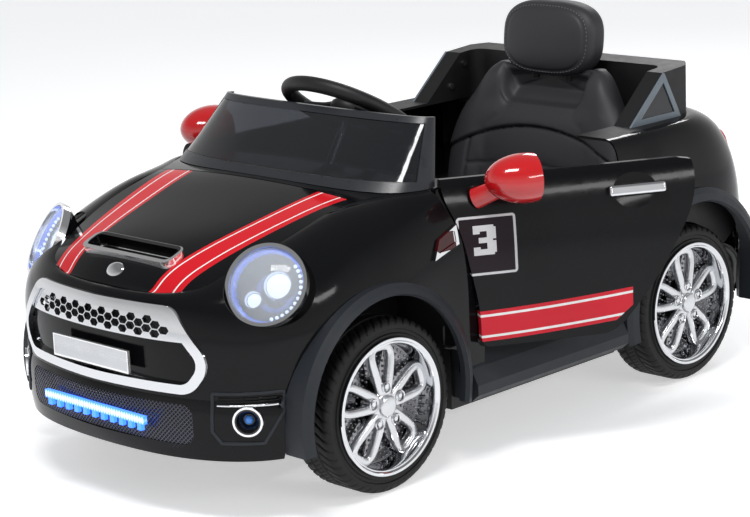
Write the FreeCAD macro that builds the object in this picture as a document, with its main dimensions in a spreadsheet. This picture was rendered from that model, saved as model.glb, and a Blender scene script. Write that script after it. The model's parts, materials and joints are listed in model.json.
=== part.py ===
"""Electric ride-on car for a child, as an assembly of separate pieces.

Frame: origin on the ground under the middle of the wheelbase, +X forward,
+Y to the driver's left, +Z up. All lengths are millimetres, angles degrees.
The left door stands open, the right one is shut.
"""
import FreeCAD, Part
import math
import os
import re
import Sketcher
from FreeCAD import Placement, Rotation, Vector

SIZES = {
    # running gear
    "wheelbase": 664, "track": 500, "wheel_radius": 120, "tyre_width": 72,
    "rim_radius": 90, "tyre_bulge": 7, "tyre_shoulder": 9, "tread_groove": 3,
    "tread_land": 13, "tyre_bead": 4, "lug_width": 5, "lug_length": 15, "lug_count": 28,
    "rim_wall": 4, "rim_lip": 5, "rim_lip_width": 4, "rim_disc_offset": 4, "rim_disc_thickness": 4,
    "hub_radius": 15, "hub_half_length": 33, "hub_face_offset": 12,
    "spoke_face_offset": 23, "spoke_thickness": 7, "spoke_root": 17, "spoke_root_half": 9,
    "spoke_tip": 72, "spoke_tip_half": 25, "spoke_tip_arc": 30, "spoke_slot_root": 36,
    "spoke_slot_root_half": 3, "spoke_slot_tip": 71, "spoke_slot_half": 15, "spoke_slot_arc": 18,
    "boss_radius": 27, "cap_radius": 14, "cap_height": 6, "lug_nut_radius": 4.5,
    "lug_nut_height": 4, "lug_nut_circle": 21, "spoke_count": 5,
    "axle_radius": 6, "running_gap": 0.3, "fit_gap": 0.15, "lock_nut_radius": 10, "lock_nut_width": 6,
    "kingpin_offset": 185, "kingpin_radius": 6, "kingpin_cap": 10, "kingpin_cap_height": 4,
    "beam_width": 28, "beam_height": 16, "beam_overhang": 11, "knuckle_radius": 12,
    "knuckle_height": 54, "collar_radius": 11, "arm_length": 45, "arm_width": 16, "arm_thickness": 6,
    "arm_drop": 5, "arm_pin_radius": 4, "arm_pin_height": 11, "tie_thickness": 4, "tie_half_width": 11,
    "tie_slot_half": 4.9, "tie_slot_forward": 8, "tie_slot_back": 5.2, "tie_eye": 16,
    "tie_plate_forward": 30, "tie_plate_back": 17, "tie_plate_half": 22,
    "crank_slot_forward": 19, "crank_slot_back": 7.5, "crank_slot_half": 5.8,
    # steering
    "column_tilt": 33, "column_radius": 6, "column_length": 353, "crank_throw": 18, "crank_height": 9,
    "crank_pin_radius": 4, "crank_pin_length": 24, "crank_rise": 20,
    "wheel_ring_radius": 95, "wheel_tube_radius": 11, "wheel_hub_radius": 30, "wheel_hub_height": 22,
    "wheel_hub_drop": 10, "wheel_spoke_width": 24, "wheel_spoke_thickness": 9, "horn_radius": 22,
    "horn_height": 6, "horn_travel": 3, "horn_stem_radius": 6, "horn_stem_length": 9,
    # chassis tub
    "ground_clearance": 70, "tub_wall": 4, "floor_thickness": 6, "tub_front": 176, "tub_rear": -185,
    "tub_half_width": 252, "tongue_front": 500, "tongue_half": 130, "tail_half": 170, "tail_rear": -505, "tail_tab_half": 40, "tab_low": 106, "tab_high": 150, "nose_tab_half": 50,
    "nose_tab_low": 89, "nose_tab_high": 103, "riser_x": -48, "seat_well_half": 194, "motor_hole_gap": 1,
    "side_wall_top": 158, "tail_wall_top": 180, "dash_wall_top": 372, "dash_wall_half": 240,
    "tunnel_half": 150, "tunnel_front": 260, "tunnel_top": 330, "bulkhead_x": -372,
    "bulkhead_high_half": 258, "bulkhead_step": 256, "bulkhead_top": 382,
    "column_hole": 11, "axle_bore_gap": 0.2,
    "pedal_x": 192, "pedal_y": -62, "pedal_z": 96, "pedal_rod": 4, "pedal_half_width": 30,
    "pedal_length": 80, "pedal_thickness": 6, "pedal_tilt": 25, "pedal_boss": 8, "pedal_ear": 6,
    "pedal_ear_half": 10,
    "battery_length": 120, "battery_width": 66, "battery_height": 88, "battery_x": -254,
    "terminal_size": 8, "terminal_height": 6, "terminal_inset": 12,
    "control_length": 70, "control_width": 90, "control_height": 28, "control_x": -90,
    "gearbox_width": 38, "gearbox_radius": 34, "gearbox_reach": 74, "gearbox_gap": 1,
    "motor_radius": 18, "motor_length": 62, "motor_spigot": 8,
    # front body
    "fender_back": 140, "nose_x": 600, "half_width": 291, "waist_height": 225, "cowl_height": 388,
    "skirt_height": 134, "skirt_rise": 34, "skirt_tuck": 3, "panel_wall": 3, "hood_wall": 3, "shut_gap": 0.8,
    "seat_gap": 0.3, "flange": 9,
    "volume_depth": 62, "apron_depth": 30, "flare_skirt": 82,
    "arch_gap": 4, "arch_lift": 8, "front_arch_shift": 8, "rear_arch_shift": -4, "front_flare_inner": 146,
    "front_flare_outer": 163, "rear_flare_inner": 150, "rear_flare_outer": 172, "flare_face": 303, "flare_depth": 80, "flare_lip": 6, "flare_roll": 8,
    "flare_end": 13, "overrun": 40,
    "grille_top": 289, "grille_mid": 216, "grille_bottom": 174, "grille_top_half": 140,
    "grille_mid_half": 199, "grille_bottom_half": 168, "grille_corner": 34, "grille_band": 13,
    "grille_stand": 6, "grille_sink": 10, "grille_panel_sink": 9.4, "grille_panel_wall": 4,
    "grille_split": 243, "honeycomb_sink": 2, "honeycomb_depth": 7, "cell_half": 8.4,
    "cell_flat": 4.4, "cell_rise": 5, "cell_web": 1.6, "cell_rows": 4,
    "plate_half": 79, "plate_height": 31, "plate_z": 210, "plate_thickness": 4,
    "plate_face": 607, "plate_stem_half": 40, "plate_stem_height": 14,
    "bumper_bottom": 86, "bumper_bulge": 5,
    "intake_top": 160, "intake_bottom": 106, "intake_half": 168, "intake_lap": 8, "intake_wall": 3, "intake_corner": 16,
    "bar_half": 105, "bar_height": 11, "bar_depth": 6, "bar_z": 130,
    "tooth_width": 8, "tooth_height": 9, "tooth_pitch": 19, "tooth_count": 11,
    "lamp_x": 490, "lamp_y": 229, "lamp_z": 312, "lamp_radius": 56, "lamp_depth": 42, "lamp_wall": 3,
    "lamp_back_radius": 26, "lamp_rim": 5, "lamp_rim_stand": 6, "lens_rise": 15, "lens_wall": 2.5,
    "lamp_yaw": 27, "lamp_pitch": 30,
    "fog_x": 528, "fog_y": 224, "fog_z": 142, "fog_radius": 20, "fog_depth": 22, "fog_bowl": 15,
    "fog_bowl_depth": 12, "fog_yaw": 38, "fog_stand": 18,
    "vent_front": 238, "vent_back": 188, "vent_low": 302, "vent_high": 342, "vent_slant": 14,
    "vent_stand": 5, "vent_frame": 5,
    "scoop_x": 520, "scoop_half": 92, "scoop_length": 40, "scoop_corner": 14, "scoop_band": 7,
    "scoop_stand": 9, "scoop_depth": 12, "scoop_floor": 3, "scoop_tilt": 21, "scoop_z": 331,
    # sills, rear body
    "sill_front": 172, "sill_rear": -160, "sill_bottom": 88, "sill_face": 300, "sill_low": 98,
    "sill_high": 112, "sill_ledge": 262, "sill_shoulder": 288, "sill_step": 134,
    "quarter_front": -25, "tail_x": -543, "belt_height": 398,
    "rear_bumper_bottom": 96,
    "tail_lamp_y": 205, "tail_lamp_z": 318, "tail_lamp_half": 27, "tail_lamp_height": 84,
    "tail_lamp_corner": 14, "tail_lamp_stand": 5,
    "hoop_foot": -265, "hoop_top": -348, "hoop_top_z": 470, "deck_crest": -430,
    "deck_crest_z": 476, "deck_lip": -478, "deck_lip_z": 460, "deck_rear": -462, "deck_half": 224,
    "deck_seat_half": 194, "deck_seat_back": -388, "deck_corner": 20, "deck_wall": 4,
    "trim_rear": -388, "trim_band": 9, "trim_thickness": 4, "pane_thickness": 2,
    "deck_screw_radius": 5, "deck_screw_height": 3, "deck_screw_z": 452, "deck_screw_x": -356,
    "deck_screw_step": 34, "deck_inset": 0.6, "deck_front": -178,
    # windscreen
    "screen_base_x": 283, "screen_base_end_x": 186, "screen_base_half": 244, "screen_base_z": 396,
    "screen_top_x": 184, "screen_top_end_x": 144, "screen_top_half": 210, "screen_top_z": 481,
    "screen_end_drop": 4, "screen_base_drop": 8, "screen_wall": 6, "glass_wall": 2.5,
    # cabin
    "dash_back": 112, "dash_half": 232, "dash_low": 296, "dash_high": 384, "dash_nose": 24,
    "dash_round": 12, "rocker_y": 70, "rocker_half": 9, "rocker_height": 26, "rocker_depth": 12,
    "rocker_stand": 4, "rocker_swing": 2, "button_y": -70, "button_radius": 11, "button_stand": 5, "button_depth": 14,
    "button_travel": 3, "control_z": 330, "control_gap": 0.4, "rocker_pin": 3,
    "seat_front": -36, "seat_rear": -254, "seat_floor": 180, "seat_height": 40, "seat_half": 178,
    "back_high": 446, "back_foot_x": -252,
    "back_top_x": -321, "back_depth": 42, "back_half": 180, "rest_low": 449, "rest_high": 568,
    "rest_x": -357, "rest_half": 96, "rest_depth": 60, "rest_post_radius": 7, "rest_post_y": 34,
    "rest_post_sink": 12,
    # doors
    "door_front": 205, "door_rear": -172, "door_top": 400, "door_bottom": 164, "door_gap": 4,
    "door_depth": 22, "door_belt_half": 251, "door_waist_half": 287, "door_crown": 3, "hinge_x": 175,
    "hinge_y": 279.5, "hinge_low": 204, "hinge_high": 258, "hinge_height": 14, "hinge_sleeve": 4.5,
    "hinge_pin": 2.2, "hinge_arm_in": 16, "hinge_arm_out": 9.5, "hinge_arm_reach": 40, "hinge_ear": 5,
    "pillar_front": 193, "pillar_back": 183, "pillar_in": 228, "pillar_out": 283, "pillar_low": 196,
    "pillar_high": 281, "ear_back": 169, "ear_in": 274,
    "door_open": 30, "door_wide": 45, "door_step": 3.75, "door_corner": 70, "dish_x": -82, "dish_z": 364, "dish_radius": 33, "dish_depth": 3.8,
    "handle_half": 42, "handle_height": 15, "handle_depth": 11,
    "mirror_x": 94, "mirror_y": 318, "mirror_z": 404, "mirror_half_x": 56, "mirror_half_y": 40,
    "mirror_half_z": 34, "mirror_foot_x": 150, "mirror_foot_z": 372, "mirror_foot_radius": 15,
    "mirror_neck_radius": 11, "mirror_cut": 14, "mirror_glass_gap": 0.2, "mirror_glass": 2.5,
}

# Rows of the front fender, from the door to the middle of the nose. Shares of
# the fender's length and half width for its upper edge, of the height between
# waist and cowl, then length and half width at the waist, then the skirt's rise.
FENDER_SHARES = [
    (0.000, 0.880, 1.000, 0.000, 0.986, 0.00),
    (0.130, 0.845, 1.000, 0.130, 0.991, 0.00),
    (0.250, 0.766, 0.994, 0.265, 0.998, 0.00),
    (0.343, 0.698, 0.975, 0.391, 1.000, 0.00),
    (0.522, 0.670, 0.871, 0.543, 0.990, 0.20),
    (0.674, 0.636, 0.730, 0.674, 0.959, 0.70),
    (0.804, 0.577, 0.589, 0.783, 0.890, 1.00),
    (0.887, 0.481, 0.485, 0.881, 0.763, 1.00),
    (0.928, 0.326, 0.451, 0.952, 0.550, 1.00),
    (0.941, 0.155, 0.442, 0.989, 0.275, 1.00),
    (0.946, 0.000, 0.442, 1.000, 0.000, 1.00),
]
# Rows of the rear quarter, from the door to the middle of the tail.
QUARTER_SHARES = [
    (0.000, 0.866, 1.000, 0.000, 0.986, 0.00),
    (0.140, 0.866, 1.000, 0.140, 0.988, 0.00),
    (0.270, 0.866, 1.000, 0.270, 0.990, 0.00),
    (0.415, 0.859, 1.000, 0.415, 1.000, 0.00),
    (0.570, 0.849, 1.000, 0.570, 1.003, 0.00),
    (0.685, 0.811, 1.000, 0.724, 1.000, 0.30),
    (0.772, 0.722, 1.000, 0.840, 0.962, 0.80),
    (0.820, 0.584, 1.000, 0.927, 0.852, 1.00),
    (0.846, 0.395, 1.000, 0.975, 0.653, 1.00),
    (0.855, 0.172, 1.000, 0.995, 0.344, 1.00),
    (0.859, 0.000, 1.000, 1.000, 0.000, 1.00),
]
# Where a panel is rounded between its upper edge and its waist.
RIB_STEP_SHARES = (1.0, 0.85, 0.68, 0.5, 0.33, 0.16, 0.0)
RIB_ROUND_SHARE = 2 / 2.3
# Hood rows: index of the fender row, centre height as a share of waist to cowl.
HOOD_CENTRE_SHARES = [(3, 1.030), (4, 0.905), (5, 0.800), (6, 0.690), (7, 0.560), (8, 0.449)]
HOOD_BOW_SHARES = [0.0, 0.002, 0.004, 0.006, 0.010, 0.0136]
SCUTTLE_CENTRE_SHARES = [(2.96, 1.034), (2, 1.045), (1, 1.050), (0.62, 1.050)]
SCUTTLE_BOW_SHARES = [0.0, 0.015, 0.008, 0.0]
CROWN_STEP_SHARES = (-1.0, -0.84, -0.62, -0.36, 0.0, 0.36, 0.62, 0.84, 1.0)
CROWN_POWER_SHARE = 2.4
# Door outline: shares of the door's length from its front and of its height.
DOOR_OUTLINE_SHARES = [
    (0.021, 1.0), (0.48, 1.0), (0.94, 1.0), (0.997, 0.985), (1.0, 0.93), (0.988, 0.77), (0.92, 0.54),
    (0.845, 0.347), (0.74, 0.135), (0.66, 0.02), (0.62, 0.0), (0.40, 0.0), (0.17, 0.0), (0.149, 0.02),
    (0.140, 0.10), (0.104, 0.496), (0.0584, 0.771), (0.021, 0.93),
]
DOOR_CORNERS = (0, 2, 3, 10, 12)
# Seat cushion, back and head rest: rows of height, reach and half width shares.
BACK_SHARES = [
    (0.00, 0.80, 0.86), (0.12, 0.96, 0.97), (0.35, 1.00, 1.00), (0.60, 0.94, 1.00), (0.82, 0.80, 0.88),
    (0.95, 0.62, 0.70), (1.00, 0.40, 0.58),
]
REST_SHARES = [
    (0.00, 0.58, 0.72), (0.08, 0.80, 0.88), (0.30, 0.97, 0.99), (0.55, 1.00, 1.00), (0.80, 0.90, 0.90),
    (0.94, 0.66, 0.72), (1.00, 0.36, 0.50),
]
# Seat cushion rows: length, height and half width shares, front to rear.
CUSHION_SHARES = [
    (0.00, 0.55, 0.90), (0.05, 0.86, 0.96), (0.20, 1.00, 1.00), (0.55, 0.94, 1.00), (0.90, 0.90, 0.97),
    (1.00, 0.78, 0.94),
]
# Half section of the cushion: half width and height shares, from its foot to its middle.
CUSHION_RIB_SHARES = [(0.965, 0.0), (1.0, 0.45), (0.93, 0.88), (0.72, 1.0), (0.56, 0.90), (0.36, 0.97), (0.0, 1.0)]
# Half section of the seat back: half width and reach shares, from its rear corner to its middle.
BACK_RIB_SHARES = [(0.97, 0.0), (1.0, 0.5), (0.93, 0.9), (0.76, 1.0), (0.56, 0.84), (0.30, 0.88), (0.0, 0.9)]
REST_ROUND_SHARE = 2 / 3.2
# Windscreen: turn shares of its sections, its roundness, and the window inside the frame.
SCREEN_STEP_SHARES = (0.0, 0.06, 0.14, 0.25, 0.37, 0.5, 0.63, 0.75, 0.86, 0.94, 1.0)
SCREEN_ROUND_SHARE = 2 / 2.6
SCREEN_FOOT_SHARE = -0.2
SCREEN_WINDOW_SHARES = (0.075, 0.10, 0.91)
SCREEN_GAP_SHARE = 0.004
MIRROR_GLASS_SHARE = 0.80
MIRROR_NECK_SHARE = 0.80

doc = FreeCAD.newDocument("RideOnCar")
sheet = doc.addObject("Spreadsheet::Sheet", "Sizes")
for row, (name, value) in enumerate(SIZES.items(), 1):
    sheet.set("A%d" % row, name)
    sheet.set("B%d" % row, str(value))
    sheet.setAlias("B%d" % row, name)
doc.recompute()

PARTS = []
UP = Vector(0, 0, 1)
SIDES = (("left", 1), ("right", -1))


class Sizes:
    """Reads one size from the sheet by its name."""

    def __getattr__(self, name):
        return float(sheet.get(name))


S = Sizes()


def bound(text):
    """Puts the sheet's name before every size named in an expression."""
    return re.sub(r"[a-z][a-z0-9_]*", lambda m: "Sizes." + m[0] if m[0] in SIZES else m[0], text)


def bind(thing, **sizes):
    """Binds properties to expressions written with size names."""
    for path, text in sizes.items():
        thing.setExpression(path, bound(text))


def place(thing, x, y, z):
    """Binds where a piece stands."""
    for axis, text in (("x", x), ("y", y), ("z", z)):
        thing.setExpression("Placement.Base." + axis, bound(text))


def span(side, low, high):
    """A span across the car, mirrored for the right side."""
    return (low, high) if side > 0 else ("-(%s)" % high, "-(%s)" % low)


def mirrored(side, text):
    """A place across the car, mirrored for the right side."""
    return text if side > 0 else "-(%s)" % text


def box(name, x, y, z):
    """A block between two expressions along each axis."""
    made = doc.addObject("Part::Box", name)
    for size, axis, (low, high) in (("Length", "x", x), ("Width", "y", y), ("Height", "z", z)):
        made.setExpression(size, bound("(%s) - (%s)" % (high, low)))
        made.setExpression("Placement.Base." + axis, bound(low))
    return made


def rod(name, radius, length, x, y, z, axis=None):
    """A round bar that starts at a place and runs along an axis."""
    made = doc.addObject("Part::Cylinder", name)
    bind(made, Radius=radius, Height=length)
    if axis is not None:
        made.Placement = Placement(Vector(), Rotation(UP, axis))
    place(made, x, y, z)
    return made


def fuse(name, *pieces):
    """Several pieces made as one."""
    made = doc.addObject("Part::MultiFuse", name)
    made.Shapes = list(pieces)
    return made


def cut(name, base, *tools):
    """A piece with others taken out of it."""
    made = doc.addObject("Part::Cut", name)
    made.Base = base
    made.Tool = tools[0] if len(tools) == 1 else fuse(name + "_tools", *tools)
    return made


def formed(name, *solids):
    """A piece whose surface no plain feature describes; its sizes come from the sheet."""
    made = doc.addObject("Part::Feature", name)
    made.Shape = solids[0] if len(solids) == 1 else Part.makeCompound(list(solids))
    return made


def finish(piece, label):
    """Names a finished piece and lists it for writing."""
    piece.Label = label
    PARTS.append(piece)
    return piece


def group(name, pieces, label):
    """Pieces that are fitted together, kept as separate solids."""
    made = doc.addObject("Part::Compound", name)
    made.Links = pieces
    return finish(made, label)


def new_body(name):
    """An empty body."""
    return doc.addObject("PartDesign::Body", name)


def sketch_on(body, role, name, lift="0"):
    """A sketch on one of the body's own planes, lifted along its normal."""
    made = body.newObject("Sketcher::SketchObject", name)
    plane = [item for item in body.Origin.OriginFeatures if item.Role == role][0]
    made.AttachmentSupport = [(plane, "")]
    made.MapMode = "FlatFace"
    if lift != "0":
        made.setExpression("AttachmentOffset.Base.z", bound(lift))
    return made


def value(text):
    """The number an expression of size names stands for now, worked out in a spare cell."""
    sheet.set("D1", "=" + text)
    sheet.recompute()
    return float(sheet.get("D1"))


def draw(sketch, outline):
    """A closed outline of (x, y) or (x, y, radius of the arc that follows)."""
    points = [Vector(value(p[0]), value(p[1]), 0) for p in outline]
    first = sketch.GeometryCount
    count = len(points)
    for i, here in enumerate(points):
        there = points[(i + 1) % count]
        if len(outline[i]) == 2:
            sketch.addGeometry(Part.LineSegment(here, there))
            continue
        radius = value(outline[i][2])
        along = there - here
        across = Vector(-along.y, along.x, 0).normalize()
        rise = abs(radius) - math.sqrt(max(radius ** 2 - (along.Length / 2) ** 2, 0))
        top = here + along * 0.5 - across * math.copysign(rise, radius)
        sketch.addGeometry(Part.Arc(here, top, there))
    starts = []
    for i in range(count):
        edge = sketch.Geometry[first + i]
        same = (edge.StartPoint - points[i]).Length <= (edge.EndPoint - points[i]).Length
        starts.append((1, 2) if same else (2, 1))
    for i in range(count):
        after = (i + 1) % count
        sketch.addConstraint(Sketcher.Constraint(
            "Coincident", first + i, starts[i][1], first + after, starts[after][0]))
    for i, corner in enumerate(outline):
        for kind, text, number in (("DistanceX", corner[0], points[i].x), ("DistanceY", corner[1], points[i].y)):
            index = sketch.addConstraint(Sketcher.Constraint(kind, -1, 1, first + i, starts[i][0], number))
            sketch.setExpression("Constraints[%d]" % index, bound(text))
        if len(corner) == 3:
            index = sketch.addConstraint(Sketcher.Constraint("Radius", first + i, abs(value(corner[2]))))
            sketch.setExpression("Constraints[%d]" % index, bound(corner[2].lstrip("-")))


def ring_mark(sketch, x, y, radius):
    """A full circle in a sketch."""
    index = sketch.addGeometry(Part.Circle(Vector(value(x), value(y), 0), UP, value(radius)))
    for kind, text in (("DistanceX", x), ("DistanceY", y)):
        made = sketch.addConstraint(Sketcher.Constraint(kind, -1, 1, index, 3, value(text)))
        sketch.setExpression("Constraints[%d]" % made, bound(text))
    made = sketch.addConstraint(Sketcher.Constraint("Radius", index, value(radius)))
    sketch.setExpression("Constraints[%d]" % made, bound(radius))


def pad(body, sketch, name, length):
    """A sketch made solid along its normal."""
    made = body.newObject("PartDesign::Pad", name)
    made.Profile = sketch
    made.setExpression("Length", bound(length))
    body.Tip = made
    return made


def turned(body, sketch, name):
    """A sketch turned all round its upright axis."""
    made = body.newObject("PartDesign::Revolution", name)
    made.Profile = sketch
    made.ReferenceAxis = (sketch, ["V_Axis"])
    made.Angle = 360
    body.Tip = made
    return made


def around(body, feature, sketch, name, count, axis="N_Axis"):
    """A feature repeated all round the sketch's normal."""
    made = body.newObject("PartDesign::PolarPattern", name)
    made.Originals = [feature]
    made.Axis = (sketch, [axis])
    made.Angle = 360
    made.setExpression("Occurrences", bound(count))
    body.Tip = made
    return made


# Wheels: a tyre, a rim and a spoke cover for each corner, built with the axle
# along their own Y axis and the outer face towards +Y.
def make_wheel(end, side_name, side):
    """One road wheel.

    Args:
        end: "front" or "rear".
        side_name: "left" or "right".
        side: 1 on the left, -1 on the right.
    """
    corner = "%s_%s" % (end, side_name)
    spin = Rotation(UP, 0 if side > 0 else 180)
    middle = "wheelbase / 2" if end == "front" else "-wheelbase / 2"

    tyre = new_body(corner + "_tyre_body")
    section = sketch_on(tyre, "XY_Plane", corner + "_tyre_section")
    draw(section, [
        ("rim_radius", "-tyre_width / 2 + tyre_bead"),
        ("rim_radius + tyre_bulge", "-tyre_width / 2"),
        ("wheel_radius - tyre_shoulder", "-tyre_width / 2", "tyre_shoulder"),
        ("wheel_radius", "-tyre_width / 2 + tyre_shoulder"),
        ("wheel_radius", "-tread_land / 2 - tread_groove"),
        ("wheel_radius - tread_groove", "-tread_land / 2 - tread_groove"),
        ("wheel_radius - tread_groove", "-tread_land / 2"),
        ("wheel_radius", "-tread_land / 2"),
        ("wheel_radius", "tread_land / 2"),
        ("wheel_radius - tread_groove", "tread_land / 2"),
        ("wheel_radius - tread_groove", "tread_land / 2 + tread_groove"),
        ("wheel_radius", "tread_land / 2 + tread_groove"),
        ("wheel_radius", "tyre_width / 2 - tyre_shoulder", "tyre_shoulder"),
        ("wheel_radius - tyre_shoulder", "tyre_width / 2"),
        ("rim_radius + tyre_bulge", "tyre_width / 2"),
        ("rim_radius", "tyre_width / 2 - tyre_bead"),
    ])
    turned(tyre, section, corner + "_carcass")
    notch = sketch_on(tyre, "XY_Plane", corner + "_tread_notch")
    for low, high in (("-tyre_width / 2 - overrun", "-tyre_width / 2 + lug_length"),
                      ("tyre_width / 2 - lug_length", "tyre_width / 2 + overrun")):
        draw(notch, [
            ("wheel_radius - tread_groove", low), ("wheel_radius + overrun", low),
            ("wheel_radius + overrun", high), ("wheel_radius - tread_groove", high),
        ])
    pocket = tyre.newObject("PartDesign::Pocket", corner + "_notches")
    pocket.Profile = notch
    pocket.SideType = "Symmetric"
    pocket.setExpression("Length", bound("lug_width"))
    tyre.Tip = pocket
    around(tyre, pocket, notch, corner + "_tread", "lug_count", "V_Axis")

    rim = new_body(corner + "_rim_body")
    section = sketch_on(rim, "XY_Plane", corner + "_rim_section")
    barrel = "rim_radius - fit_gap"
    inside = "rim_radius - fit_gap - rim_wall"
    bore = "axle_radius + running_gap"
    draw(section, [
        (inside, "-tyre_width / 2 + tyre_bead"), (barrel, "-tyre_width / 2 + tyre_bead"),
        (barrel, "tyre_width / 2 + fit_gap"), (barrel + " + rim_lip", "tyre_width / 2 + fit_gap"),
        (barrel + " + rim_lip", "tyre_width / 2 + rim_lip_width"), (inside, "tyre_width / 2 + rim_lip_width"),
        (inside, "rim_disc_offset + rim_disc_thickness"), ("hub_radius", "rim_disc_offset + rim_disc_thickness"),
        ("hub_radius", "hub_face_offset"), (bore, "hub_face_offset"), (bore, "-hub_half_length"),
        ("hub_radius", "-hub_half_length"), ("hub_radius", "rim_disc_offset"), (inside, "rim_disc_offset"),
    ])
    turned(rim, section, corner + "_dish")

    cover = new_body(corner + "_spoke_body")
    face = "-(spoke_face_offset + spoke_thickness)"
    loop = sketch_on(cover, "XZ_Plane", corner + "_loop", face)
    draw(loop, [
        ("-spoke_root_half", "spoke_root"), ("spoke_root_half", "spoke_root"),
        ("spoke_tip_half", "spoke_tip", "spoke_tip_arc"), ("-spoke_tip_half", "spoke_tip"),
    ])
    draw(loop, [
        ("-spoke_slot_root_half", "spoke_slot_root"), ("spoke_slot_root_half", "spoke_slot_root"),
        ("spoke_slot_half", "spoke_slot_tip", "spoke_slot_arc"), ("-spoke_slot_half", "spoke_slot_tip"),
    ])
    spoke = pad(cover, loop, corner + "_spoke", "spoke_thickness")
    around(cover, spoke, loop, corner + "_spoke_ring", "spoke_count")
    boss = sketch_on(cover, "XZ_Plane", corner + "_boss_mark", face)
    ring_mark(boss, "0", "0", "boss_radius")
    pad(cover, boss, corner + "_boss", "spoke_thickness")
    cap = sketch_on(cover, "XZ_Plane", corner + "_cap_mark", face + " - cap_height")
    ring_mark(cap, "0", "0", "cap_radius")
    pad(cover, cap, corner + "_cap", "cap_height")
    nut = sketch_on(cover, "XZ_Plane", corner + "_nut_mark", face + " - lug_nut_height")
    ring_mark(nut, "0", "lug_nut_circle", "lug_nut_radius")
    lug = pad(cover, nut, corner + "_nut", "lug_nut_height")
    around(cover, lug, nut, corner + "_nuts", "spoke_count")

    for body in (tyre, rim, cover):
        body.Placement = Placement(Vector(), spin)
        place(body, middle, mirrored(side, "track / 2"), "wheel_radius")
    finish(tyre, corner + "_tyre")
    group(corner + "_wheel_set", [rim, cover], corner + "_wheel")


for end in ("front", "rear"):
    for side_name, side in SIDES:
        make_wheel(end, side_name, side)

# Front axle: a beam with a fixed kingpin at each end, a knuckle that turns on
# each pin, and the tie rod that joins the two steering arms.
FRONT_AXLE = "wheelbase / 2"
FLOOR_TOP = "ground_clearance + floor_thickness"
BEAM_TOP = FLOOR_TOP + " + beam_height"
KNUCKLE_LOW = BEAM_TOP + " + running_gap"
ARM_TOP = KNUCKLE_LOW + " + knuckle_height - arm_drop"
TIE_X = FRONT_AXLE + " - arm_length"
TIE_LOW = ARM_TOP + " + running_gap"
ALONG_Y = Vector(0, 1, 0)
AGAINST_Y = Vector(0, -1, 0)
ALONG_X = Vector(1, 0, 0)

beam_pieces = [box("beam_bar", (FRONT_AXLE + " - beam_width / 2", FRONT_AXLE + " + beam_width / 2"),
                   ("-kingpin_offset - beam_overhang", "kingpin_offset + beam_overhang"), (FLOOR_TOP, BEAM_TOP))]
for side_name, side in SIDES:
    pin_y = mirrored(side, "kingpin_offset")
    beam_pieces.append(rod(side_name + "_kingpin", "kingpin_radius",
                           "knuckle_height + 2 * running_gap + kingpin_cap_height",
                           FRONT_AXLE, pin_y, BEAM_TOP))
    beam_pieces.append(rod(side_name + "_kingpin_nut", "kingpin_cap", "kingpin_cap_height",
                           FRONT_AXLE, pin_y, KNUCKLE_LOW + " + knuckle_height + running_gap"))
finish(fuse("beam", *beam_pieces), "front_axle_beam")

for side_name, side in SIDES:
    pin_y = mirrored(side, "kingpin_offset")
    outward = ALONG_Y if side > 0 else AGAINST_Y
    hub_in = "track / 2 - hub_half_length - running_gap - kingpin_offset"
    hub_out = "track / 2 + hub_face_offset + running_gap"
    barrel = rod(side_name + "_knuckle_barrel", "knuckle_radius", "knuckle_height", FRONT_AXLE, pin_y, KNUCKLE_LOW)
    collar = rod(side_name + "_collar", "collar_radius", hub_in, FRONT_AXLE, pin_y, "wheel_radius", outward)
    stub = rod(side_name + "_stub", "axle_radius", hub_out + " - kingpin_offset + lock_nut_width",
               FRONT_AXLE, pin_y, "wheel_radius", outward)
    nut = rod(side_name + "_lock_nut", "lock_nut_radius", "lock_nut_width",
              FRONT_AXLE, mirrored(side, hub_out), "wheel_radius", outward)
    arm = box(side_name + "_arm", (TIE_X + " - arm_width / 2", FRONT_AXLE),
              span(side, "kingpin_offset - arm_width / 2", "kingpin_offset + arm_width / 2"),
              (ARM_TOP + " - arm_thickness", ARM_TOP))
    pin = rod(side_name + "_arm_pin", "arm_pin_radius", "arm_pin_height", TIE_X, pin_y, ARM_TOP)
    bore = rod(side_name + "_knuckle_bore", "kingpin_radius + running_gap", "knuckle_height + 2 * overrun",
               FRONT_AXLE, pin_y, KNUCKLE_LOW + " - overrun")
    solid = fuse(side_name + "_knuckle_solid", barrel, collar, stub, nut, arm, pin)
    finish(cut(side_name + "_knuckle_cut", solid, bore), side_name + "_knuckle")

tie_level = (TIE_LOW, TIE_LOW + " + tie_thickness")
tie_cut = (TIE_LOW + " - overrun", TIE_LOW + " + overrun")
tie_bar = box("tie_bar", (TIE_X + " - tie_half_width", TIE_X + " + tie_half_width"),
              ("-kingpin_offset - tie_eye", "kingpin_offset + tie_eye"), tie_level)
tie_plate = box("tie_plate", (TIE_X + " - tie_plate_back", TIE_X + " + tie_plate_forward"),
                ("-tie_plate_half", "tie_plate_half"), tie_level)
tie_slots = [box("crank_slot", (TIE_X + " - crank_slot_back", TIE_X + " + crank_slot_forward"),
                 ("-crank_slot_half", "crank_slot_half"), tie_cut)]
for side_name, side in SIDES:
    tie_slots.append(box(side_name + "_tie_slot", (TIE_X + " - tie_slot_back", TIE_X + " + tie_slot_forward"),
                         span(side, "kingpin_offset - tie_slot_half", "kingpin_offset + tie_slot_half"), tie_cut))
finish(cut("tie_cut", fuse("tie_solid", tie_bar, tie_plate), *tie_slots), "tie_rod")

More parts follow.
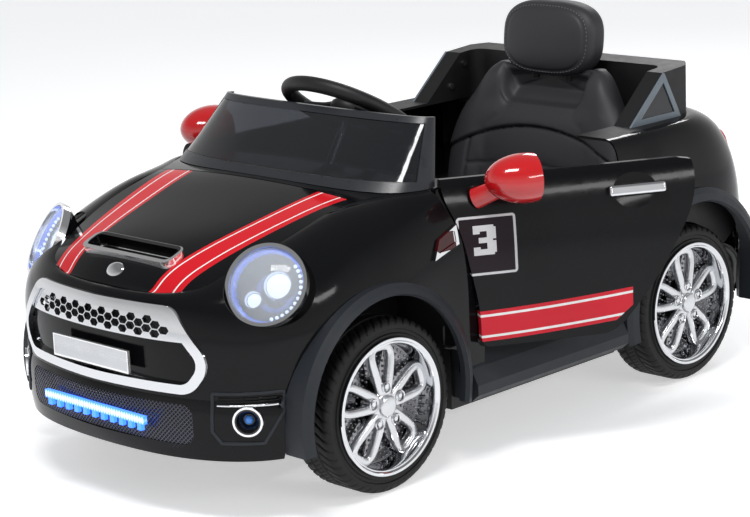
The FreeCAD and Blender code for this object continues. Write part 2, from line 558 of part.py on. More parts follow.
# Steering: a straight column with a crank at its foot that moves the tie rod.
# Column, wheel and horn pad share one leaning frame whose Z runs up the column.
lean = math.radians(S.column_tilt)
tie_z = value(TIE_LOW) + S.tie_thickness / 2
foot_x = value(TIE_X) + S.crank_throw / math.cos(lean) - S.crank_rise * math.tan(lean)
COLUMN = Placement(Vector(foot_x, 0, tie_z + S.crank_rise), Rotation(ALONG_Y, -S.column_tilt))
HUB_LOW = "column_length - wheel_hub_height + wheel_hub_drop"
HUB_TOP = "column_length + wheel_hub_drop"

shaft = rod("column_shaft", "column_radius", HUB_LOW, "0", "0", "0")
crank = box("column_crank", ("-crank_throw - column_radius", "column_radius"),
            ("-column_radius", "column_radius"), ("0", "crank_height"))
crank_pin = rod("column_crank_pin", "crank_pin_radius", "crank_pin_length + crank_height",
                "-crank_throw", "0", "-crank_pin_length")
column = fuse("column", shaft, crank, crank_pin)
column.Placement = COLUMN
finish(column, "steering_column")

ring = doc.addObject("Part::Torus", "steering_ring")
bind(ring, Radius1="wheel_ring_radius", Radius2="wheel_tube_radius")
place(ring, "0", "0", "column_length")
spoke_level = ("column_length - wheel_spoke_thickness / 2", "column_length + wheel_spoke_thickness / 2")
cross = box("steering_cross", ("-wheel_spoke_width / 2", "wheel_spoke_width / 2"),
            ("-wheel_ring_radius", "wheel_ring_radius"), spoke_level)
lower = box("steering_lower_spoke", ("-wheel_ring_radius", "0"),
            ("-wheel_spoke_width / 2", "wheel_spoke_width / 2"), spoke_level)
hub = rod("steering_hub", "wheel_hub_radius", "wheel_hub_height", "0", "0", HUB_LOW)
horn_bore = rod("horn_bore", "horn_stem_radius + running_gap", "horn_stem_length + overrun",
                "0", "0", HUB_TOP + " - horn_stem_length")
steering = cut("steering", fuse("steering_solid", ring, cross, lower, hub), horn_bore)
steering.Placement = COLUMN
finish(steering, "steering_wheel")

horn_low = HUB_TOP + " + horn_travel + running_gap"
pad_disc = rod("horn_disc", "horn_radius", "horn_height", "0", "0", horn_low)
pad_stem = rod("horn_stem", "horn_stem_radius", "horn_stem_length", "0", "0", horn_low + " - horn_stem_length")
horn = fuse("horn", pad_disc, pad_stem)
horn.Placement = COLUMN
finish(horn, "horn_pad")

# Chassis tub: floor, sills' inner walls, foot tunnel, seat riser and bulkhead.
WHOLE_TUB = ("-tub_half_width", "tub_half_width")
TUNNEL = ("-tunnel_half - tub_wall", "tunnel_half + tub_wall")
REAR_AXLE = "-wheelbase / 2"
MOTOR_X = REAR_AXLE + " + gearbox_reach"
tub_pieces = [
    box("floor", ("tub_rear", "tub_front"), WHOLE_TUB, ("ground_clearance", FLOOR_TOP)),
    box("tongue", ("tub_front", "tongue_front"), ("-tongue_half", "tongue_half"), ("ground_clearance", FLOOR_TOP)),
    box("tunnel_floor", ("tub_front", "tunnel_front"), TUNNEL, ("ground_clearance", FLOOR_TOP)),
    box("tail_floor", ("tail_rear", "tub_rear"), ("-tail_half", "tail_half"), ("ground_clearance", FLOOR_TOP)),
    box("tail_end", ("tail_rear", "tail_rear + tub_wall"), ("-tail_half", "tail_half"), (FLOOR_TOP, "tail_wall_top")),
    box("tail_tab", ("tail_x + panel_wall + seat_gap", "tail_rear"), ("-tail_tab_half", "tail_tab_half"),
        ("tab_low", "tab_high")),
    box("nose_tab", ("tongue_front - overrun", "nose_x - skirt_tuck - panel_wall - seat_gap"),
        ("-nose_tab_half", "nose_tab_half"), ("nose_tab_low", "nose_tab_high")),
    box("nose_rise", ("tongue_front - overrun", "tongue_front"), ("-nose_tab_half", "nose_tab_half"),
        (FLOOR_TOP, "nose_tab_high")),
    box("rear_riser", ("tub_rear", "tub_rear + tub_wall"), WHOLE_TUB, (FLOOR_TOP, "side_wall_top")),
    box("seat_riser", ("riser_x - tub_wall", "riser_x"), ("-seat_well_half", "seat_well_half"),
        (FLOOR_TOP, "seat_floor")),
    box("seat_deck", ("bulkhead_x", "riser_x"), ("-seat_well_half", "seat_well_half"),
        ("seat_floor - tub_wall", "seat_floor")),
    box("dash_wall_top_panel", ("tub_front - tub_wall", "tub_front"), ("-tunnel_half", "tunnel_half"),
        ("tunnel_top", "dash_wall_top")),
    box("tunnel_end", ("tunnel_front - tub_wall", "tunnel_front"), TUNNEL, (FLOOR_TOP, "tunnel_top + tub_wall")),
    box("tunnel_roof", ("tub_front - tub_wall", "tunnel_front"), TUNNEL, ("tunnel_top", "tunnel_top + tub_wall")),
    box("bulkhead_low", ("bulkhead_x", "bulkhead_x + tub_wall"), ("-tail_half", "tail_half"),
        (FLOOR_TOP, "bulkhead_top")),
    box("bulkhead_middle", ("bulkhead_x", "bulkhead_x + tub_wall"), ("-seat_well_half", "seat_well_half"),
        ("seat_floor - tub_wall", "bulkhead_step")),
    box("bulkhead_high", ("bulkhead_x", "bulkhead_x + tub_wall"), ("-bulkhead_high_half", "bulkhead_high_half"),
        ("bulkhead_step", "bulkhead_top")),
]
tub_holes = []
for side_name, side in SIDES:
    tub_pieces += [
        box(side_name + "_tail_wall", ("tail_rear", "tub_rear + tub_wall"),
            span(side, "tail_half - tub_wall", "tail_half"), (FLOOR_TOP, "tail_wall_top")),
        box(side_name + "_side_wall", ("tub_rear", "tub_front"),
            span(side, "tub_half_width - tub_wall", "tub_half_width"), (FLOOR_TOP, "side_wall_top")),
        box(side_name + "_dash_wall", ("tub_front - tub_wall", "tub_front"),
            span(side, "tunnel_half", "dash_wall_half"), (FLOOR_TOP, "dash_wall_top")),
        box(side_name + "_low_dash_wall", ("tub_front - tub_wall", "tub_front"),
            span(side, "tunnel_half", "tub_half_width"), (FLOOR_TOP, "side_wall_top")),
        box(side_name + "_tunnel_wall", ("tub_front - tub_wall", "tunnel_front"),
            span(side, "tunnel_half", "tunnel_half + tub_wall"), (FLOOR_TOP, "tunnel_top")),
        box(side_name + "_well_wall", ("bulkhead_x", "tub_rear + tub_wall"),
            span(side, "seat_well_half - tub_wall", "seat_well_half"), ("seat_floor - tub_wall", "bulkhead_step")),
        box(side_name + "_arch_top", ("bulkhead_x", "tub_rear + tub_wall"),
            span(side, "seat_well_half - tub_wall", "bulkhead_high_half"),
            ("bulkhead_step - tub_wall", "bulkhead_step")),
        box(side_name + "_arch_front", ("tub_rear", "tub_rear + tub_wall"),
            span(side, "seat_well_half - tub_wall", "tub_half_width"), ("side_wall_top - tub_wall", "bulkhead_step")),
        box(side_name + "_pedal_ear", ("pedal_x - pedal_ear_half", "pedal_x + pedal_ear_half"),
            ("pedal_y + %d * (pedal_half_width + running_gap) - %d * pedal_ear" % (side, side < 0),
             "pedal_y + %d * (pedal_half_width + running_gap) + %d * pedal_ear" % (side, side > 0)),
            (FLOOR_TOP, "pedal_z + pedal_ear_half")),
    ]
    tub_holes.append(rod(side_name + "_motor_hole", "motor_radius + motor_hole_gap", "tub_wall + 2 * overrun",
                         MOTOR_X, mirrored(side, "tail_half - tub_wall - overrun"), "wheel_radius",
                         ALONG_Y if side > 0 else AGAINST_Y))
tub_holes.append(rod("axle_hole", "axle_radius + axle_bore_gap", "2 * (tail_half + overrun)", REAR_AXLE,
                     "-tail_half - overrun", "wheel_radius", ALONG_Y))
tub_holes.append(rod("pedal_hole", "pedal_rod + running_gap", "2 * (pedal_half_width + pedal_ear + pedal_boss)", "pedal_x",
                     "pedal_y - pedal_half_width - pedal_ear - pedal_boss", "pedal_z", ALONG_Y))
column_hole = formed("column_passage", Part.makeCylinder(S.column_hole, S.column_length))
column_hole.Placement = COLUMN
tub_holes.append(column_hole)
finish(cut("tub", fuse("tub_solid", *tub_pieces), *tub_holes), "chassis_tub")

# Accelerator pedal on its own cross rod between two ears of the tub.
pedal_rod = rod("pedal_pivot", "pedal_rod", "2 * (pedal_half_width + pedal_ear)", "0",
                "-pedal_half_width - pedal_ear", "0", ALONG_Y)
pedal_plate = box("pedal_plate", ("-pedal_thickness / 2", "pedal_thickness / 2"),
                  ("-pedal_half_width", "pedal_half_width"), ("0", "pedal_length"))
pedal = fuse("pedal", pedal_rod, pedal_plate)
pedal.Placement = Placement(Vector(S.pedal_x, S.pedal_y, S.pedal_z), Rotation(ALONG_Y, S.pedal_tilt))
finish(pedal, "accelerator_pedal")

# Drive: battery, control unit, and a gearbox with its motor for each rear wheel.
BATTERY_TOP = FLOOR_TOP + " + battery_height"
battery_pieces = [box("battery_case", ("battery_x - battery_length / 2", "battery_x + battery_length / 2"),
                      ("-battery_width / 2", "battery_width / 2"), (FLOOR_TOP, BATTERY_TOP))]
for side_name, side in SIDES:
    battery_pieces.append(box(side_name + "_terminal", (
        "battery_x + battery_length / 2 - terminal_inset - terminal_size",
        "battery_x + battery_length / 2 - terminal_inset"),
        span(side, "terminal_inset", "terminal_inset + terminal_size"),
        (BATTERY_TOP, BATTERY_TOP + " + terminal_height")))
finish(fuse("battery_solid", *battery_pieces), "battery")
finish(box("control_case", ("control_x - control_length / 2", "control_x + control_length / 2"),
           ("-control_width / 2", "control_width / 2"), (FLOOR_TOP, FLOOR_TOP + " + control_height")), "control_unit")

for side_name, side in SIDES:
    outward = ALONG_Y if side > 0 else AGAINST_Y
    face = mirrored(side, "tail_half + fit_gap")
    case = rod(side_name + "_gear_case", "gearbox_radius", "gearbox_width", REAR_AXLE, face, "wheel_radius", outward)
    nose = rod(side_name + "_motor_case", "motor_radius + tub_wall", "gearbox_width", MOTOR_X, face,
               "wheel_radius", outward)
    bridge = box(side_name + "_gear_bridge", (REAR_AXLE, MOTOR_X),
                 span(side, "tail_half + fit_gap", "tail_half + fit_gap + gearbox_width"),
                 ("wheel_radius - motor_radius", "wheel_radius + motor_radius"))
    bore = rod(side_name + "_gear_bore", "axle_radius + axle_bore_gap", "gearbox_width + 2 * overrun", REAR_AXLE,
               mirrored(side, "tail_half - overrun"), "wheel_radius", outward)
    gearbox = cut(side_name + "_gearbox", fuse(side_name + "_gear_solid", case, nose, bridge), bore)
    inward = AGAINST_Y if side > 0 else ALONG_Y
    can = rod(side_name + "_motor_can", "motor_radius", "motor_length", MOTOR_X, face, "wheel_radius", inward)
    tail = rod(side_name + "_motor_tail", "motor_spigot", "motor_length + motor_spigot", MOTOR_X, face,
               "wheel_radius", inward)
    group(side_name + "_drive_set", [gearbox, fuse(side_name + "_motor", can, tail)], side_name + "_drive")

axle_half = "track / 2 + hub_face_offset + running_gap"
axle_pieces = [rod("axle_bar", "axle_radius", "2 * (%s + lock_nut_width)" % axle_half, REAR_AXLE,
                   "-(%s) - lock_nut_width" % axle_half, "wheel_radius", ALONG_Y)]
for side_name, side in SIDES:
    outward = ALONG_Y if side > 0 else AGAINST_Y
    axle_pieces.append(rod(side_name + "_axle_nut", "lock_nut_radius", "lock_nut_width", REAR_AXLE,
                           mirrored(side, axle_half), "wheel_radius", outward))
    inner_end = "tail_half + gearbox_width + gearbox_gap"
    axle_pieces.append(rod(side_name + "_axle_collar", "lock_nut_radius",
                           "track / 2 - hub_half_length - running_gap - (%s)" % inner_end, REAR_AXLE,
                           mirrored(side, inner_end), "wheel_radius", outward))
finish(fuse("rear_axle_solid", *axle_pieces), "rear_axle")


# Body panels: each row of a panel is a rib from its foot up over the waist to
# its upper edge, and the panel is drawn smoothly through all its rows.
def rows_of(shares, start, end, top):
    """Rows of a panel that runs round one end of the car.

    Args:
        shares: table of the rows from the door to the middle.
        start: where the panel meets the door, along the car.
        end: the end of the car.
        top: height of the panel's upper edge.

    Returns:
        A list of (edge, waist, foot height, share of rise), left door to right door.
    """
    half = []
    for edge_x, edge_y, edge_z, waist_x, waist_y, rise in shares:
        edge = Vector(start + (end - start) * edge_x, S.half_width * edge_y,
                      S.waist_height + (top - S.waist_height) * edge_z)
        waist = Vector(start + (end - start) * waist_x, S.half_width * waist_y, S.waist_height)
        half.append((edge, waist, S.skirt_height + S.skirt_rise * rise))
    other = [(Vector(e.x, -e.y, e.z), Vector(w.x, -w.y, w.z), foot) for e, w, foot in reversed(half[:-1])]
    return half + other


def inward_of(edge, waist):
    """Level direction from a panel's waist towards its upper edge."""
    return Vector(edge.x - waist.x, edge.y - waist.y, 0).normalize()


def rib(edge, waist, foot):
    """Points of one rib from foot to edge."""
    inward = inward_of(edge, waist)
    low = Vector(waist.x, waist.y, foot) + inward * S.skirt_tuck
    points = [low, (low + waist) * 0.5 - inward * (S.skirt_tuck / 4)]
    for share in RIB_STEP_SHARES:
        turn = share * math.pi / 2
        out = math.sin(turn) ** RIB_ROUND_SHARE
        up = max(math.cos(turn), 0) ** RIB_ROUND_SHARE if share < 1 else 0
        points.append(Vector(edge.x + (waist.x - edge.x) * out, edge.y + (waist.y - edge.y) * out,
                             waist.z + (edge.z - waist.z) * up))
    return points


def spline(points):
    """A smooth edge through points."""
    curve = Part.BSplineCurve()
    curve.interpolate(list(points))
    return curve.toShape()


def chain(*points):
    """Straight edges from point to point."""
    return [Part.makeLine(a, b) for a, b in zip(points, points[1:])]


def panel(rows, wall, grow=0.0, foot=None):
    """A curved panel of even wall.

    Args:
        rows: rows from rows_of.
        wall: thickness inwards from the outer surface.
        grow: how far the outer surface stands outside the rows.
        foot: one height for the lower edge, if not the rows' own.

    Returns:
        A solid.
    """
    wires = []
    for edge, waist, own_foot in rows:
        inward = inward_of(edge, waist)
        low = own_foot if foot is None else foot
        top = edge + UP * grow
        side = waist - inward * grow
        under = top - UP * wall
        outer = rib(top, side, low)
        inner = rib(under, side + inward * wall, low)
        wires.append(Part.Wire([spline(outer)] + chain(top, under) + [spline(reversed(inner))]
                               + chain(inner[0], outer[0])))
    return Part.makeLoft(wires, True, False)


def room_for(rows, gap):
    """The space that a body panel takes up, with a gap all round it."""
    wider = [(edge + inward_of(edge, waist) * gap, waist, foot - gap) for edge, waist, foot in rows]
    return panel(wider, S.panel_wall + 2 * gap, gap)


def apron(rows, top, bottom, grow, bulge, spare=0.0):
    """A deep block under the waist: flush at its top, full in the middle, drawn in at its foot."""
    wires = []
    middle = (top + bottom) / 2
    line = [(top, S.skirt_tuck), (middle + (top - middle) / 2, -bulge), (middle, -bulge),
            (middle + (bottom - middle) / 2, -bulge / 2), (bottom, S.skirt_tuck)]
    for edge, waist, foot in rows:
        inward = inward_of(edge, waist)
        base = Vector(waist.x, waist.y, 0) - inward * grow
        front = [base + UP * z + inward * shift for z, shift in line]
        deep = inward * S.apron_depth
        low, high = front[-1] - UP * spare, front[0] + UP * spare
        edges = [spline(front)] + chain(*([front[-1]] + [low] * bool(spare) + [low + deep, high + deep]
                                          + [high] * bool(spare) + [front[0]]))
        wires.append(Part.Wire(edges))
    return Part.makeLoft(wires, True, False)


def band(rows, top, bottom, wall, grow, bulge):
    """A low panel under the waist with an even wall."""
    return apron(rows, top, bottom, grow, bulge).cut(apron(rows, top, bottom, grow - wall, bulge, S.overrun / 2))


def prism(points, along):
    """A straight block on a closed outline."""
    return Part.Face(Part.makePolygon(list(points) + [points[0]])).extrude(along)


def rounded(solid, direction, radius):
    """Rounds the edges that run along a direction."""
    edges = []
    for edge in solid.Edges:
        run = edge.Vertexes[-1].Point - edge.Vertexes[0].Point
        if run.Length > radius and abs(run.normalize().dot(direction)) > math.cos(math.radians(1)):
            edges.append(edge)
    return solid.makeFillet(radius, edges)


def flip(shape):
    """The same shape on the other side of the car."""
    return shape.mirror(Vector(), ALONG_Y)


def cylinder(radius, length, base, along):
    """A round bar as a plain shape for cutting."""
    return Part.makeCylinder(radius, length, base, along)


front_rows = rows_of(FENDER_SHARES, S.fender_back, S.nose_x, S.cowl_height)
rear_rows = rows_of(QUARTER_SHARES, S.quarter_front, S.tail_x, S.belt_height)
front_room = room_for(front_rows, S.seat_gap)
rear_room = room_for(rear_rows, S.seat_gap)


def door_outline(grow):
    """The door's side outline as a face in the car's centre plane, grown all round."""
    length = S.door_front - S.door_rear
    height = S.door_top - S.door_bottom
    plain = [Vector(S.door_front - length * x, 0, S.door_bottom + height * z) for x, z in DOOR_OUTLINE_SHARES]
    points = []
    for i, here in enumerate(plain):
        sides = []
        for start, stop in ((plain[i - 1], here), (here, plain[(i + 1) % len(plain)])):
            run = (stop - start).normalize()
            sides.append(Vector(run.z, 0, -run.x))
        outward = (sides[0] + sides[1]) * (1 / (1 + sides[0].dot(sides[1])))
        points.append(here + outward * grow)
    edges = []
    start = 0
    corners = list(DOOR_CORNERS[1:]) + [len(points)]
    for stop in corners:
        piece = [points[i % len(points)] for i in range(start, stop + 1)]
        edges.append(spline(piece) if len(piece) > 2 else Part.makeLine(*piece))
        start = stop
    return Part.Face(Part.Wire(edges))


def door_block(grow, low, high):
    """The door's outline run across the car from one place to another."""
    face = door_outline(grow)
    face.translate(ALONG_Y * low)
    return face.extrude(ALONG_Y * (high - low))


door_rows = []
for step in range(-2, 3):
    share = step / 2
    x = (S.door_front + S.door_rear) / 2 + share * ((S.door_front - S.door_rear) / 2 + S.overrun / 2)
    waist_y = S.door_waist_half + S.door_crown * (1 - share ** 2)
    door_rows.append((Vector(x, S.door_belt_half, S.door_top + S.door_crown), Vector(x, waist_y, S.waist_height),
                      S.door_bottom - S.door_gap))
DOOR_SPAN = (S.tail_half, S.half_width + S.overrun)


def door_sweep(gap):
    """The room that a left door's front corner takes up on its way open, step by step, with a gap round it."""
    inner, outer = DOOR_SPAN
    corner = Part.makeBox(2 * S.door_corner, outer - inner, S.door_corner + S.overrun,
                          Vector(S.hinge_x - S.door_corner, inner, S.door_top - S.door_corner))
    shut = panel(door_rows, S.door_depth + 2 * gap, gap).common(door_block(gap, inner, outer)).common(corner)
    places = []
    for step in range(round(S.door_wide / S.door_step) + 1):
        moved = shut.copy()
        moved.rotate(Vector(S.hinge_x, S.hinge_y, 0), UP, -step * S.door_step)
        places.append(moved)
    return places


def arch(end):
    """Centre of the wheel arch at one end."""
    if end == "front":
        return Vector(S.wheelbase / 2 + S.front_arch_shift, 0, S.wheel_radius + S.arch_lift)
    return Vector(-S.wheelbase / 2 + S.rear_arch_shift, 0, S.wheel_radius + S.arch_lift)


def both_sides(shape):
    """A shape and its mirror image."""
    return [shape, flip(shape)]


def arch_cuts(end, radius):
    """The round holes for the two wheels at one end."""
    middle = arch(end)
    start = Vector(middle.x, S.tail_half, middle.z)
    return both_sides(cylinder(radius, S.half_width, start, ALONG_Y))


def aim(yaw, pitch):
    """Direction a lamp looks in."""
    return Vector(math.cos(pitch) * math.cos(yaw), math.cos(pitch) * math.sin(yaw), math.sin(pitch))


LAMP_AT = Vector(S.lamp_x, S.lamp_y, S.lamp_z)
LAMP_AIM = aim(math.radians(S.lamp_yaw), math.radians(S.lamp_pitch))
FOG_AT = Vector(S.fog_x, S.fog_y, S.fog_z)
FOG_AIM = aim(math.radians(S.fog_yaw), 0)


def lamp_hole(place_at, aimed, radius):
    """A round hole through a panel where a lamp sits."""
    return cylinder(radius, 2 * S.overrun + S.lamp_depth, place_at - aimed * (S.overrun + S.lamp_depth / 2), aimed)


def grille_prism(shrink):
    """The grille's six-sided outline run along the car, drawn in all round."""
    half = [(S.grille_top_half, S.grille_top), (S.grille_mid_half, S.grille_mid),
            (S.grille_bottom_half, S.grille_bottom)]
    points = [Vector(S.nose_x - S.volume_depth, y, z) for y, z in half]
    points += [Vector(p.x, -p.y, p.z) for p in reversed(points)]
    solid = rounded(prism(points, ALONG_X * (S.volume_depth + S.overrun)), ALONG_X, S.grille_corner)
    if not shrink:
        return solid
    wire = [w for w in solid.Wires if abs(w.BoundBox.XLength) < S.fit_gap][0]
    return Part.Face(wire.makeOffset2D(-shrink)).extrude(ALONG_X * (S.volume_depth + S.overrun))


door_hole = door_block(S.door_gap, S.tail_half, S.half_width + S.overrun)
grille_hole = grille_prism(-S.seat_gap)
lamp_holes = both_sides(lamp_hole(LAMP_AT, LAMP_AIM, S.lamp_radius + S.seat_gap))
body = panel(front_rows, S.panel_wall)
body = body.cut(arch_cuts("front", S.front_flare_inner + S.arch_gap) + both_sides(door_hole) + [grille_hole]
                + lamp_holes)
finish(formed("front_panel", body), "front_body")


# Hood and scuttle: lids drawn across the car between the fenders' upper edges.
def row_at(rows, index):
    """Upper edge and inward direction at a row, or part of the way to the next."""
    low = int(index)
    part = index - low
    edge, waist, foot = rows[low]
    if part:
        next_edge, next_waist, foot = rows[low + 1]
        edge = edge + (next_edge - edge) * part
        waist = waist + (next_waist - waist) * part
    return edge, inward_of(edge, waist)


def crown_points(index, rise, bow, gap):
    """One line across a lid, from the left edge to the right."""
    edge, inward = row_at(front_rows, index)
    left = edge + inward * gap
    centre_x = left.x + bow * (S.nose_x - S.fender_back)
    centre_z = S.waist_height + (S.cowl_height - S.waist_height) * rise
    points = []
    for share in CROWN_STEP_SHARES:
        crown = 1 - abs(share) ** CROWN_POWER_SHARE
        points.append(Vector(left.x + (centre_x - left.x) * crown, -left.y * share,
                             left.z + (centre_z - left.z) * crown))
    return points


def lid(centres, bows, gap, ahead=0.0, wall=None, lift=0.0):
    """A thin crowned lid through several lines across the car.

    Args:
        centres: fender row and height share of each line.
        bows: how far the middle of each line runs ahead of its ends, as a share.
        gap: room between the lid and the fenders.
        ahead: how far the lid is drawn past its last line before it is trimmed there.
        wall: thickness, if not the lid's own.
        lift: how far the whole is raised.

    Returns:
        A solid.
    """
    lines = [crown_points(index, rise, bow, gap) for (index, rise), bow in zip(centres, bows)]
    if ahead:
        corner = lines[-1][0]
        lines.append([Vector(corner.x + ahead, point.y, corner.z) for point in lines[-1]])
    wires = []
    for over in lines:
        over = [point + UP * lift for point in over]
        under = [point - UP * (wall or S.hood_wall) for point in over]
        wires.append(Part.Wire([spline(over)] + chain(over[-1], under[-1]) + [spline(reversed(under))]
                               + chain(under[0], over[0])))
    made = Part.makeLoft(wires, True, False)
    if ahead:
        lip = [Vector(point.x, point.y, 0) for point in lines[-2]]
        left, right = (Vector(corner.x, side * S.half_width, 0) for name, side in SIDES)
        far = ALONG_X * (2 * ahead)
        outline = Part.Wire([spline(lip)] + chain(lip[-1], right, right + far, left + far, left, lip[0]))
        made = made.cut(Part.Face(outline).extrude(UP * (2 * S.cowl_height)))
    return made


def round_outline(half_x, half_y, radius):
    """Outline of a rectangle with rounded corners, for draw."""
    in_x = "((%s) - (%s))" % (half_x, radius)
    in_y = "((%s) - (%s))" % (half_y, radius)
    low_x, low_y = "-(%s)" % half_x, "-(%s)" % half_y
    return [
        ("-" + in_x, low_y), (in_x, low_y, radius), (half_x, "-" + in_y), (half_x, in_y, radius),
        (in_x, half_y), ("-" + in_x, half_y, radius), (low_x, in_y), (low_x, "-" + in_y, radius),
    ]


SCOOP = Placement(Vector(S.scoop_x, 0, S.scoop_z), Rotation(ALONG_Y, S.scoop_tilt))
scoop = new_body("scoop_body")
mark = sketch_on(scoop, "XY_Plane", "scoop_outline", "-scoop_depth")
draw(mark, round_outline("scoop_length / 2", "scoop_half", "scoop_corner"))
pad(scoop, mark, "scoop_block", "scoop_depth + scoop_stand")
mark = sketch_on(scoop, "XY_Plane", "scoop_mouth", "scoop_stand")
draw(mark, round_outline("scoop_length / 2 - scoop_band", "scoop_half - scoop_band", "scoop_corner - scoop_band"))
mouth = scoop.newObject("PartDesign::Pocket", "scoop_hollow")
mouth.Profile = mark
mouth.setExpression("Length", bound("scoop_depth + scoop_stand - scoop_floor"))
scoop.Tip = mouth
scoop.Placement = SCOOP
finish(scoop, "hood_scoop")

hole_x = S.scoop_length / 2 + S.seat_gap
hole_y = S.scoop_half + S.seat_gap
hole = prism([Vector(-hole_x, -hole_y, -S.overrun), Vector(hole_x, -hole_y, -S.overrun),
              Vector(hole_x, hole_y, -S.overrun), Vector(-hole_x, hole_y, -S.overrun)], UP * (2 * S.overrun))
hole = rounded(hole, UP, S.scoop_corner)
hole.Placement = SCOOP
hood = lid(HOOD_CENTRE_SHARES, HOOD_BOW_SHARES, S.shut_gap, S.overrun).cut([hole, front_room])
hood = max(hood.Solids, key=lambda solid: solid.Volume)
finish(formed("hood_lid", hood), "hood")
scuttle = lid(SCUTTLE_CENTRE_SHARES, SCUTTLE_BOW_SHARES, S.seat_gap)
column_path = cylinder(S.column_hole, S.column_length, Vector(), UP)
column_path.Placement = COLUMN
scuttle = scuttle.cut([column_path, front_room])
for room in door_sweep(2 * S.seat_gap):
    scuttle = scuttle.cut(both_sides(room))
scuttle = max(scuttle.Solids, key=lambda solid: solid.Volume)
finish(formed("scuttle_lid", scuttle), "scuttle_panel")

# Grille: chrome surround, honeycomb above, dark panel behind, plate in front.
slab = panel(front_rows, S.grille_stand + S.grille_sink, S.grille_stand)
surround = slab.common(grille_prism(0)).cut(grille_prism(S.grille_band))
finish(formed("surround", surround), "grille_surround")
inside = grille_prism(S.grille_band + S.seat_gap)
backing = panel(front_rows, S.grille_panel_wall, -S.grille_panel_sink).common(inside)
finish(formed("backing", backing), "grille_panel")
upper = Part.makeBox(S.volume_depth + S.overrun, 2 * S.half_width, S.cowl_height,
                     Vector(S.nose_x - S.volume_depth, -S.half_width, S.grille_split))
comb = panel(front_rows, S.honeycomb_depth, -S.honeycomb_sink).common(inside).common(upper)
comb_middle = (S.grille_split + S.grille_top - S.grille_band) / 2
slant = math.hypot(S.cell_half - S.cell_flat, S.cell_rise)
cell_step = S.cell_rise + S.cell_web / 2
cell_pitch = 2 * (2 * S.cell_half + (S.cell_web * slant - cell_step * (S.cell_half - S.cell_flat)) / S.cell_rise)
cells = []
for row in range(round(S.cell_rows)):
    row_z = comb_middle + (row - (S.cell_rows - 1) / 2) * cell_step
    reach = (S.grille_mid_half - S.grille_top_half) * (S.grille_top - row_z) / (S.grille_top - S.grille_mid)
    limit = S.grille_top_half + reach - 2 * S.grille_band - S.cell_half
    count = int(limit / cell_pitch) + 1
    for column in range(-count, count + 1):
        y = (column + row % 2 / 2) * cell_pitch
        if abs(y) > limit:
            continue
        start = S.nose_x - S.volume_depth
        ring_points = [(S.cell_half, 0), (S.cell_flat, S.cell_rise), (-S.cell_flat, S.cell_rise),
                       (-S.cell_half, 0), (-S.cell_flat, -S.cell_rise), (S.cell_flat, -S.cell_rise)]
        cells.append(prism([Vector(start, y + a, row_z + b) for a, b in ring_points],
                           ALONG_X * (S.volume_depth + S.overrun)))
finish(formed("comb", comb.cut(cells)), "grille_honeycomb")

PLATE_BACK = "plate_face - plate_thickness"
plate = box("plate_sheet", (PLATE_BACK, "plate_face"), ("-plate_half", "plate_half"),
            ("plate_z - plate_height / 2", "plate_z + plate_height / 2"))
stem = box("plate_stem", ("nose_x - grille_panel_sink + fit_gap", PLATE_BACK), ("-plate_stem_half", "plate_stem_half"),
           ("plate_z - plate_stem_height / 2", "plate_z + plate_stem_height / 2"))
finish(fuse("plate", plate, stem), "number_plate")

# Front bumper with its air intake, the mesh behind it and the light bar.
BUMPER_TOP = S.skirt_height + S.skirt_rise - S.seat_gap
bumper_rows = front_rows[6:-6]
intake = rounded(prism([Vector(S.nose_x - S.volume_depth, y, z) for y, z in (
    (-S.intake_half, S.intake_bottom), (S.intake_half, S.intake_bottom),
    (S.intake_half, S.intake_top), (-S.intake_half, S.intake_top))],
    ALONG_X * (S.volume_depth + S.overrun)), ALONG_X, S.intake_corner)
bumper = band(bumper_rows, BUMPER_TOP, S.bumper_bottom, S.panel_wall, 0, S.bumper_bulge)
fog_holes = both_sides(lamp_hole(FOG_AT, FOG_AIM, S.fog_radius + S.seat_gap))
bumper = bumper.cut([intake] + fog_holes + arch_cuts("front", S.front_flare_outer + S.seat_gap))
finish(formed("bumper", bumper), "front_bumper")
mesh_block = Part.makeBox(S.volume_depth + S.overrun, 2 * (S.intake_half + S.intake_lap),
                          BUMPER_TOP - S.intake_bottom + S.intake_lap - S.seat_gap,
                          Vector(S.nose_x - S.volume_depth, -S.intake_half - S.intake_lap,
                                 S.intake_bottom - S.intake_lap))
mesh = band(bumper_rows, BUMPER_TOP, S.bumper_bottom, S.intake_wall, -S.panel_wall - S.seat_gap, S.bumper_bulge)
nose_tab_room = Part.makeBox(S.overrun, 2 * S.nose_tab_half + S.intake_lap, S.nose_tab_high - S.bumper_bottom,
                             Vector(S.nose_x - S.overrun, -S.nose_tab_half - S.intake_lap / 2, S.bumper_bottom))
finish(formed("mesh", mesh.common(mesh_block).cut(nose_tab_room)), "bumper_mesh")

bar = new_body("light_bar_body")
mark = sketch_on(bar, "YZ_Plane", "light_bar_mark", "nose_x + bumper_bulge - panel_wall + seat_gap")
draw(mark, [("-bar_half", "bar_z"), ("bar_half", "bar_z"), ("bar_half", "bar_z + bar_height"),
            ("-bar_half", "bar_z + bar_height")])
pad(bar, mark, "light_bar_block", "bar_depth")
mark = sketch_on(bar, "YZ_Plane", "tooth_mark", "nose_x + bumper_bulge - panel_wall + seat_gap")
draw(mark, [("-(tooth_count - 1) * tooth_pitch / 2 - tooth_width / 2", "bar_z - tooth_height"),
            ("-(tooth_count - 1) * tooth_pitch / 2 + tooth_width / 2", "bar_z - tooth_height"),
            ("-(tooth_count - 1) * tooth_pitch / 2 + tooth_width / 2", "bar_z"),
            ("-(tooth_count - 1) * tooth_pitch / 2 - tooth_width / 2", "bar_z")])
tooth = pad(bar, mark, "light_bar_tooth", "bar_depth")
teeth = bar.newObject("PartDesign::LinearPattern", "light_bar_teeth")
teeth.Originals = [tooth]
teeth.Direction = (mark, ["H_Axis"])
teeth.setExpression("Length", bound("(tooth_count - 1) * tooth_pitch"))
